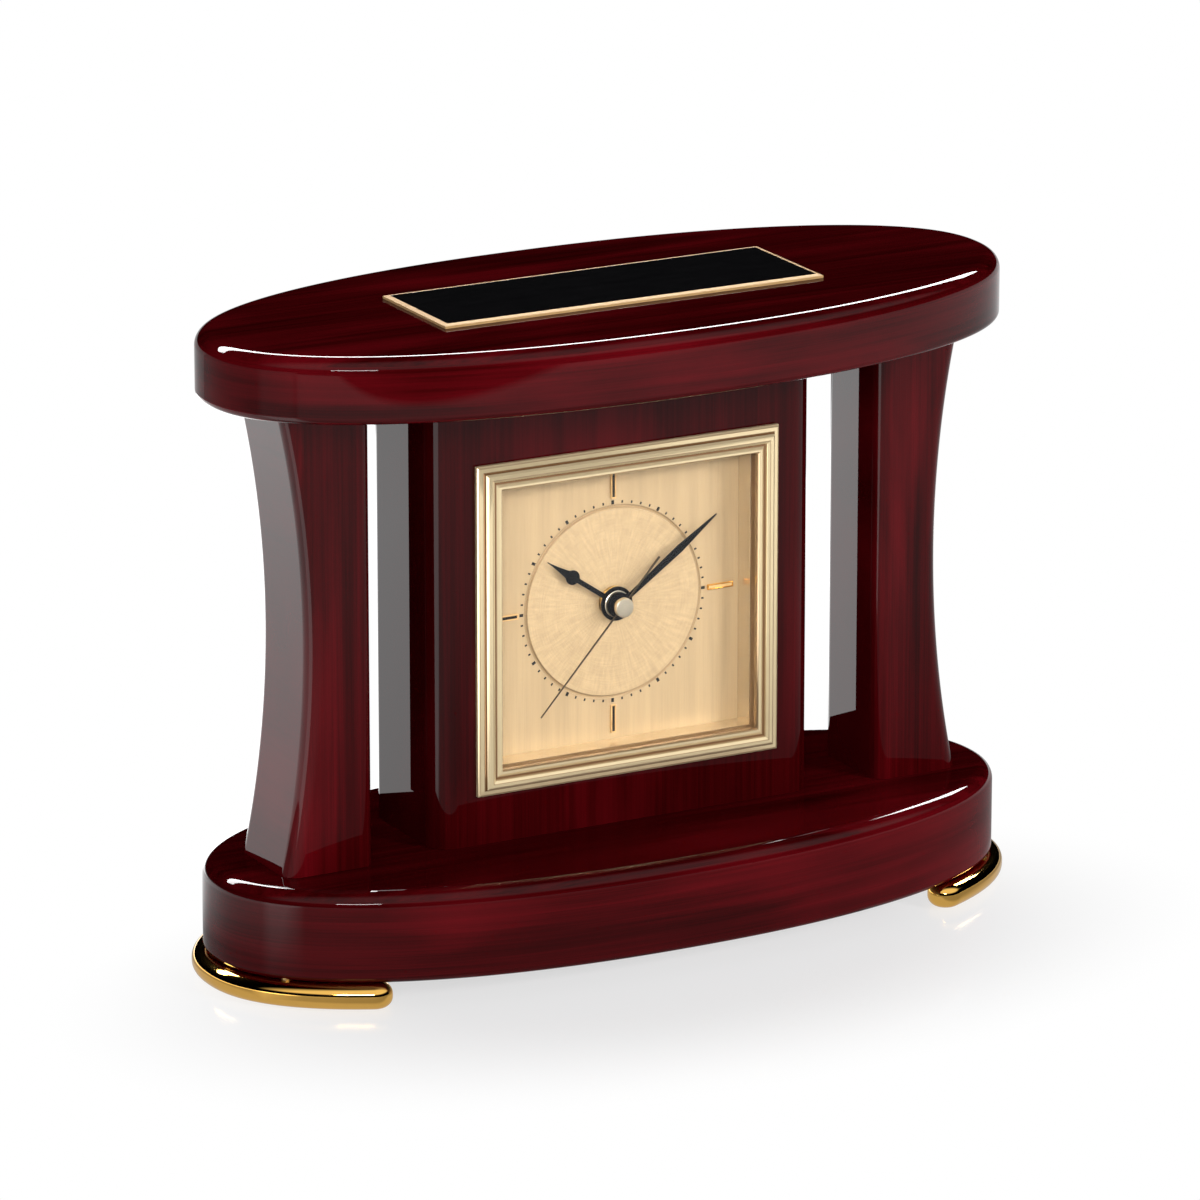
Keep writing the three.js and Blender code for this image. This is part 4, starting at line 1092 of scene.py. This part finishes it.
def second_hand():
    tail, tip, thick, thin = (length * MM for length in (-12.5, 27.6, 0.17, 0.08))
    outline = [
        (at, thick + (thin - thick) * (at - tail) / (tip - tail)) for at in (tail, -0.9 * MM, 0.9 * MM, tip)]
    hand("second_hand", "needle", outline, 1.1 * MM, 0.55 * MM, 222, look="second_hand")


def cap():
    low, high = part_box("hand_cap")
    radius, height, edge, steps = (high.x - low.x) / 2, high.y - low.y, 0.2 * MM, 5
    profile = [(0, 0), (radius, 0)]
    for step in range(steps, -1, -1):
        turn = step * QUARTER_TURN / steps
        profile.append((radius - edge + edge * math.sin(turn), height - edge + edge * math.cos(turn)))
    bm = turned([*profile, (0, height)])
    facing_viewer(bm, high.y)
    piece("hand_cap_polished", bm, ["pale_brass"], "hand_cap")


class CLOCK_OT_hands(bpy.types.Operator):
    """Builds the spade, the lance, the thin second hand and the polished cap"""

    bl_idname = "award_clock.hands"
    bl_label = "Hands"

    def execute(self, context):
        hour_hand()
        collet()
        minute_hand()
        second_hand()
        cap()
        return {"FINISHED"}


class CLOCK_OT_movement(bpy.types.Operator):
    """Eases the edges of the movement's housing and builds its cell"""

    bl_idname = "award_clock.movement"
    bl_label = "Movement"

    def execute(self, context):
        eased("front_housing_moulded", "front_housing", 0.15 * MM, "black_plastic")
        eased("rear_housing_moulded", "rear_housing", 0.25 * MM, "black_plastic")
        low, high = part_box("battery")
        middle = (low + high) / 2
        radius, length = (high.z - low.z) / 2, high.x - low.x
        edge, nub, nub_height, recess, ease = (size * MM for size in (0.6, 2.7, 1.5, 0.2, 0.3))
        body = length - nub_height
        bm = turned([
            (0, recess), (radius - 2 * edge, recess), (radius - 1.6 * edge, 0), (radius - edge, 0),
            (radius - 0.3 * edge, 0.3 * edge), (radius, edge), (radius, body - edge),
            (radius - 0.3 * edge, body - 0.3 * edge), (radius - edge, body), (nub + 0.4 * MM, body),
            (nub, body + ease), (nub, length - ease), (nub - ease, length), (0, length)])
        rotate(bm, QUARTER_TURN, "Y")
        move(bm, (low.x, middle.y, middle.z))
        piece("cell_jacketed", bm, ["cell"], "battery")
        return {"FINISHED"}


class CLOCK_OT_finishes(bpy.types.Operator):
    """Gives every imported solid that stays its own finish"""

    bl_idname = "award_clock.finishes"
    bl_label = "Finishes"

    def execute(self, context):
        for part in frame["record"]["subparts"]:
            solid = frame["nodes"][part["node"]]
            solid.data.materials.clear()
            solid.data.materials.append(finish(part["material_slot"]))
        return {"FINISHED"}


# Floor, cards, lights and camera
def floor_in_mirrors(shader):
    """What gloss shows of the floor: a bright side at the back left and a dim front with an edge."""
    x, y, _ = shader.split(shader.here())

    def across_line(distance, *stops):
        """A ramp 100 mm wide, with its middle on the line that the distance is measured from."""
        return shader.ramp(distance * 10 + 0.5, *stops)

    left_side = across_line(0.8 * (y + 0.016) - 0.6 * (x + 0.08), (0.45, 0), (0.62, 1))
    from_column = hypotenuse(x + 0.075, y)
    by_column = shader.ramp(
        from_column, (0.035, 0.1), (0.09, 0.5), (0.3, 0.6), (0.392, 0.6), (0.402, 0.1))
    bright_side = 0.864 * x + 0.503 * y > 0
    slope = (y + 0.007) / (x + 0.0405)
    wedge = shader.ramp(slope, (0.1, 0), (0.2, 1), (0.6, 1), (0.72, 0)) * (x < -0.05)
    left_light = by_column * (1 + 0.6 * bright_side) * (1 + 0.9 * wedge)
    from_front = hypotenuse(x - 0.04, y + 0.01)
    by_front = shader.ramp(from_front, (0.1, 0.08), (0.24, 0.19), (0.38, 0.22), (0.5, 0.24))
    front_light = by_front * across_line(y + 0.19 * x + 0.495, (0.44, 0.03), (0.56, 1))
    from_oval = hypotenuse(x / OVAL_HALF.x, y / OVAL_HALF.y) - 1
    by_feet = shader.ramp(from_oval, (0.1, 1), (0.26, 0)) * (x.absolute() > 0.045)
    brightness = shader.blend(left_side, front_light, left_light).at_least(by_feet * 0.14)
    return shader.blend_shaders(brightness, shader.glow(0), shader.glow(4))


def rays(shader):
    """Two switches: one for what the camera sees, also through glass, and one for what gloss shows."""
    path = shader.node("LightPath")
    seen = shader.value(path, "Is Camera Ray") + shader.value(path, "Is Transmission Ray")
    return seen.at_most(1), shader.value(path, "Is Glossy Ray")


def staged(name, bm, material):
    made = object_of(name, bm)
    made.data.materials.append(material)
    return made


def floor(studio):
    """A white floor, which the camera sees as dim near the clock and as plain white further away."""
    shader = new_shader("white_floor")
    x, y, _ = shader.split(shader.here())
    from_clock = hypotenuse((x + 0.005) / 0.098, (y + 0.025) / 0.06)
    away = shader.ramp(from_clock - 0.4, (0.1, 0), (0.92, 1))
    clear = away * away * (3 - 2 * away)
    lit = shader.surface(
        Base_Color=(0.82, 0.82, 0.83, 1), Roughness=0.5 + 0.1 * clear, Specular_IOR_Level=0.1)
    pale = shader.surface(
        Base_Color=(0.3, 0.3, 0.305, 1), Roughness=0.12 + 0.02 * clear, Specular_IOR_Level=0.08)
    by_clock = shader.node("AddShader", {0: pale, 1: shader.glow(0.64)}).outputs[0]
    seen, in_gloss = rays(shader)
    plain = shader.blend_shaders(seen, lit, shader.blend_shaders(clear, by_clock, shader.glow(1)))
    material = shader.output(shader.blend_shaders(in_gloss, plain, floor_in_mirrors(shader)))
    bm = bmesh.new()
    bmesh.ops.create_grid(bm, x_segments=1, y_segments=1, size=studio.floor_half)
    under_feet = 0.05 * MM
    move(bm, (0, 0, -under_feet))
    staged("floor", bm, material)


def flag(name, node, rear):
    """A black card behind a piece, hidden from the camera, which keeps the side that faces it dark."""
    shader = new_shader("black_" + name)
    material = shader.output(shader.glow(0))
    corner, rounding = high_of(node), 3 * MM
    front, low, high = corner.y - rounding, high_of("base_plate").z, low_of("top_plate").z
    corners = ((front, low), (rear, low), (rear, high), (front, high))
    bm = bmesh.new()
    bm.faces.new([bm.verts.new((corner.x, y, z)) for y, z in corners])
    card = staged(name, bm, material)
    card.visible_camera = False
    card.visible_transmission = False
    card.visible_shadow = False


def aimed(name, data, place, direction):
    """A lamp or the camera, looking along a direction."""
    made = bpy.data.objects.new(name, data)
    made.location = place
    made.rotation_euler = direction.to_track_quat("-Z", "Y").to_euler()
    bpy.context.scene.collection.objects.link(made)
    return made


def softbox(name, power, size, place, aim_height, in_gloss):
    """A lamp that either lights matt surfaces or shows in gloss."""
    light = bpy.data.lights.new(name, "AREA")
    light.shape = "RECTANGLE"
    light.size, light.size_y = size
    light.energy = power
    lamp = aimed(name, light, place, Vector((0, 0, aim_height)) - Vector(place))
    lamp.visible_diffuse = not in_gloss
    lamp.visible_glossy = in_gloss


def surroundings():
    world = bpy.data.worlds.new("studio")
    bpy.context.scene.world = world
    shader = Shader(world)
    seen, in_gloss = rays(shader)
    _, y, z = shader.split(shader.node("TexCoord").outputs["Generated"])
    in_front = shader.ramp(0.5 - 0.5 * y, (0.52, 0), (0.68, 1)) * shader.ramp(z, (0.36, 0), (0.5, 1))
    behind = shader.ramp(0.5 + 0.5 * y, (0.5, 0), (0.75, 1))
    black, dim, half_lit, pale, white = (
        shader.glow(strength, "Background") for strength in (0, 0.2, 0.6, 0.95, 1))
    mirrored = shader.blend_shaders(in_front, black, pale)
    room = shader.blend_shaders(behind, dim, half_lit)
    unseen = shader.blend_shaders(in_gloss, room, mirrored)
    shader.output(shader.blend_shaders(seen, unseen, white), "OutputWorld")


def camera(studio):
    level = math.cos(studio.elevation)
    back = Vector((
        math.sin(studio.azimuth) * level, -math.cos(studio.azimuth) * level, math.sin(studio.elevation)))
    data = bpy.data.cameras.new("camera")
    data.sensor_width = 36
    data.lens = studio.lens
    data.clip_end = 50
    bpy.context.scene.camera = aimed(
        "camera", data, Vector(studio.aim) + back * studio.distance, -back)


class CLOCK_OT_stage(bpy.types.Operator):
    """Sets the floor, the lights, the white surroundings and the camera"""

    bl_idname = "award_clock.stage"
    bl_label = "Stage"

    def execute(self, context):
        studio = context.scene.clock_studio
        floor(studio)
        flag("left_flag", "left_column", studio.left_flag)
        flag("right_flag", "clock_case", studio.right_flag)
        surroundings()
        softboxes = (
            ("key", studio.key_power, (0.55, 0.5), (1.2, -1.95, 0.95), 0.06, False),
            ("rim", studio.rim_power, (2.6, 0.25), (0.25, 0.95, 1.05), 0.1, True),
            ("fill", studio.fill_power, (0.7, 0.6), (-0.85, -1.6, 0.7), 0.06, False),
            ("spark", studio.spark_power, (0.5, 0.09), (-0.9, -1.5, 0.8), 0.06, True))
        for name, power, size, place, aim_height, in_gloss in softboxes:
            softbox(name, power, size, place, aim_height, in_gloss)
        camera(studio)
        context.scene.view_settings.view_transform = "Standard"
        return {"FINISHED"}


OPERATORS = (
    CLOCK_OT_finishes,
    CLOCK_OT_plates,
    CLOCK_OT_columns,
    CLOCK_OT_case,
    CLOCK_OT_feet,
    CLOCK_OT_name_plate,
    CLOCK_OT_insert,
    CLOCK_OT_dial,
    CLOCK_OT_hands,
    CLOCK_OT_movement,
    CLOCK_OT_stage,
)


class CLOCK_PT_sidebar(bpy.types.Panel):
    """Lists the clock's pieces and its settings"""

    bl_idname = "CLOCK_PT_sidebar"
    bl_label = "Award clock"
    bl_space_type = "VIEW_3D"
    bl_region_type = "UI"
    bl_category = "Award clock"

    def draw(self, context):
        for operator in OPERATORS:
            self.layout.operator(operator.bl_idname)
        for group in (context.scene.clock_sizes, context.scene.clock_colours, context.scene.clock_studio):
            box = self.layout.box()
            for name in group.bl_rna.properties.keys():
                if name not in ("rna_type", "name"):
                    box.prop(group, name)


GROUPS = {"clock_sizes": ClockSizes, "clock_colours": ClockColours, "clock_studio": StudioSettings}


def register():
    for name, group in GROUPS.items():
        bpy.utils.register_class(group)
        setattr(bpy.types.Scene, name, bpy.props.PointerProperty(type=group))
    for operator in OPERATORS:
        bpy.utils.register_class(operator)
    bpy.utils.register_class(CLOCK_PT_sidebar)


def unregister():
    bpy.utils.unregister_class(CLOCK_PT_sidebar)
    for operator in reversed(OPERATORS):
        bpy.utils.unregister_class(operator)
    for name, group in GROUPS.items():
        delattr(bpy.types.Scene, name)
        bpy.utils.unregister_class(group)


def main():
    register()
    for operator in OPERATORS:
        category, name = operator.bl_idname.split(".")
        getattr(getattr(bpy.ops, category), name)()


if __name__ == "__main__":
    main()
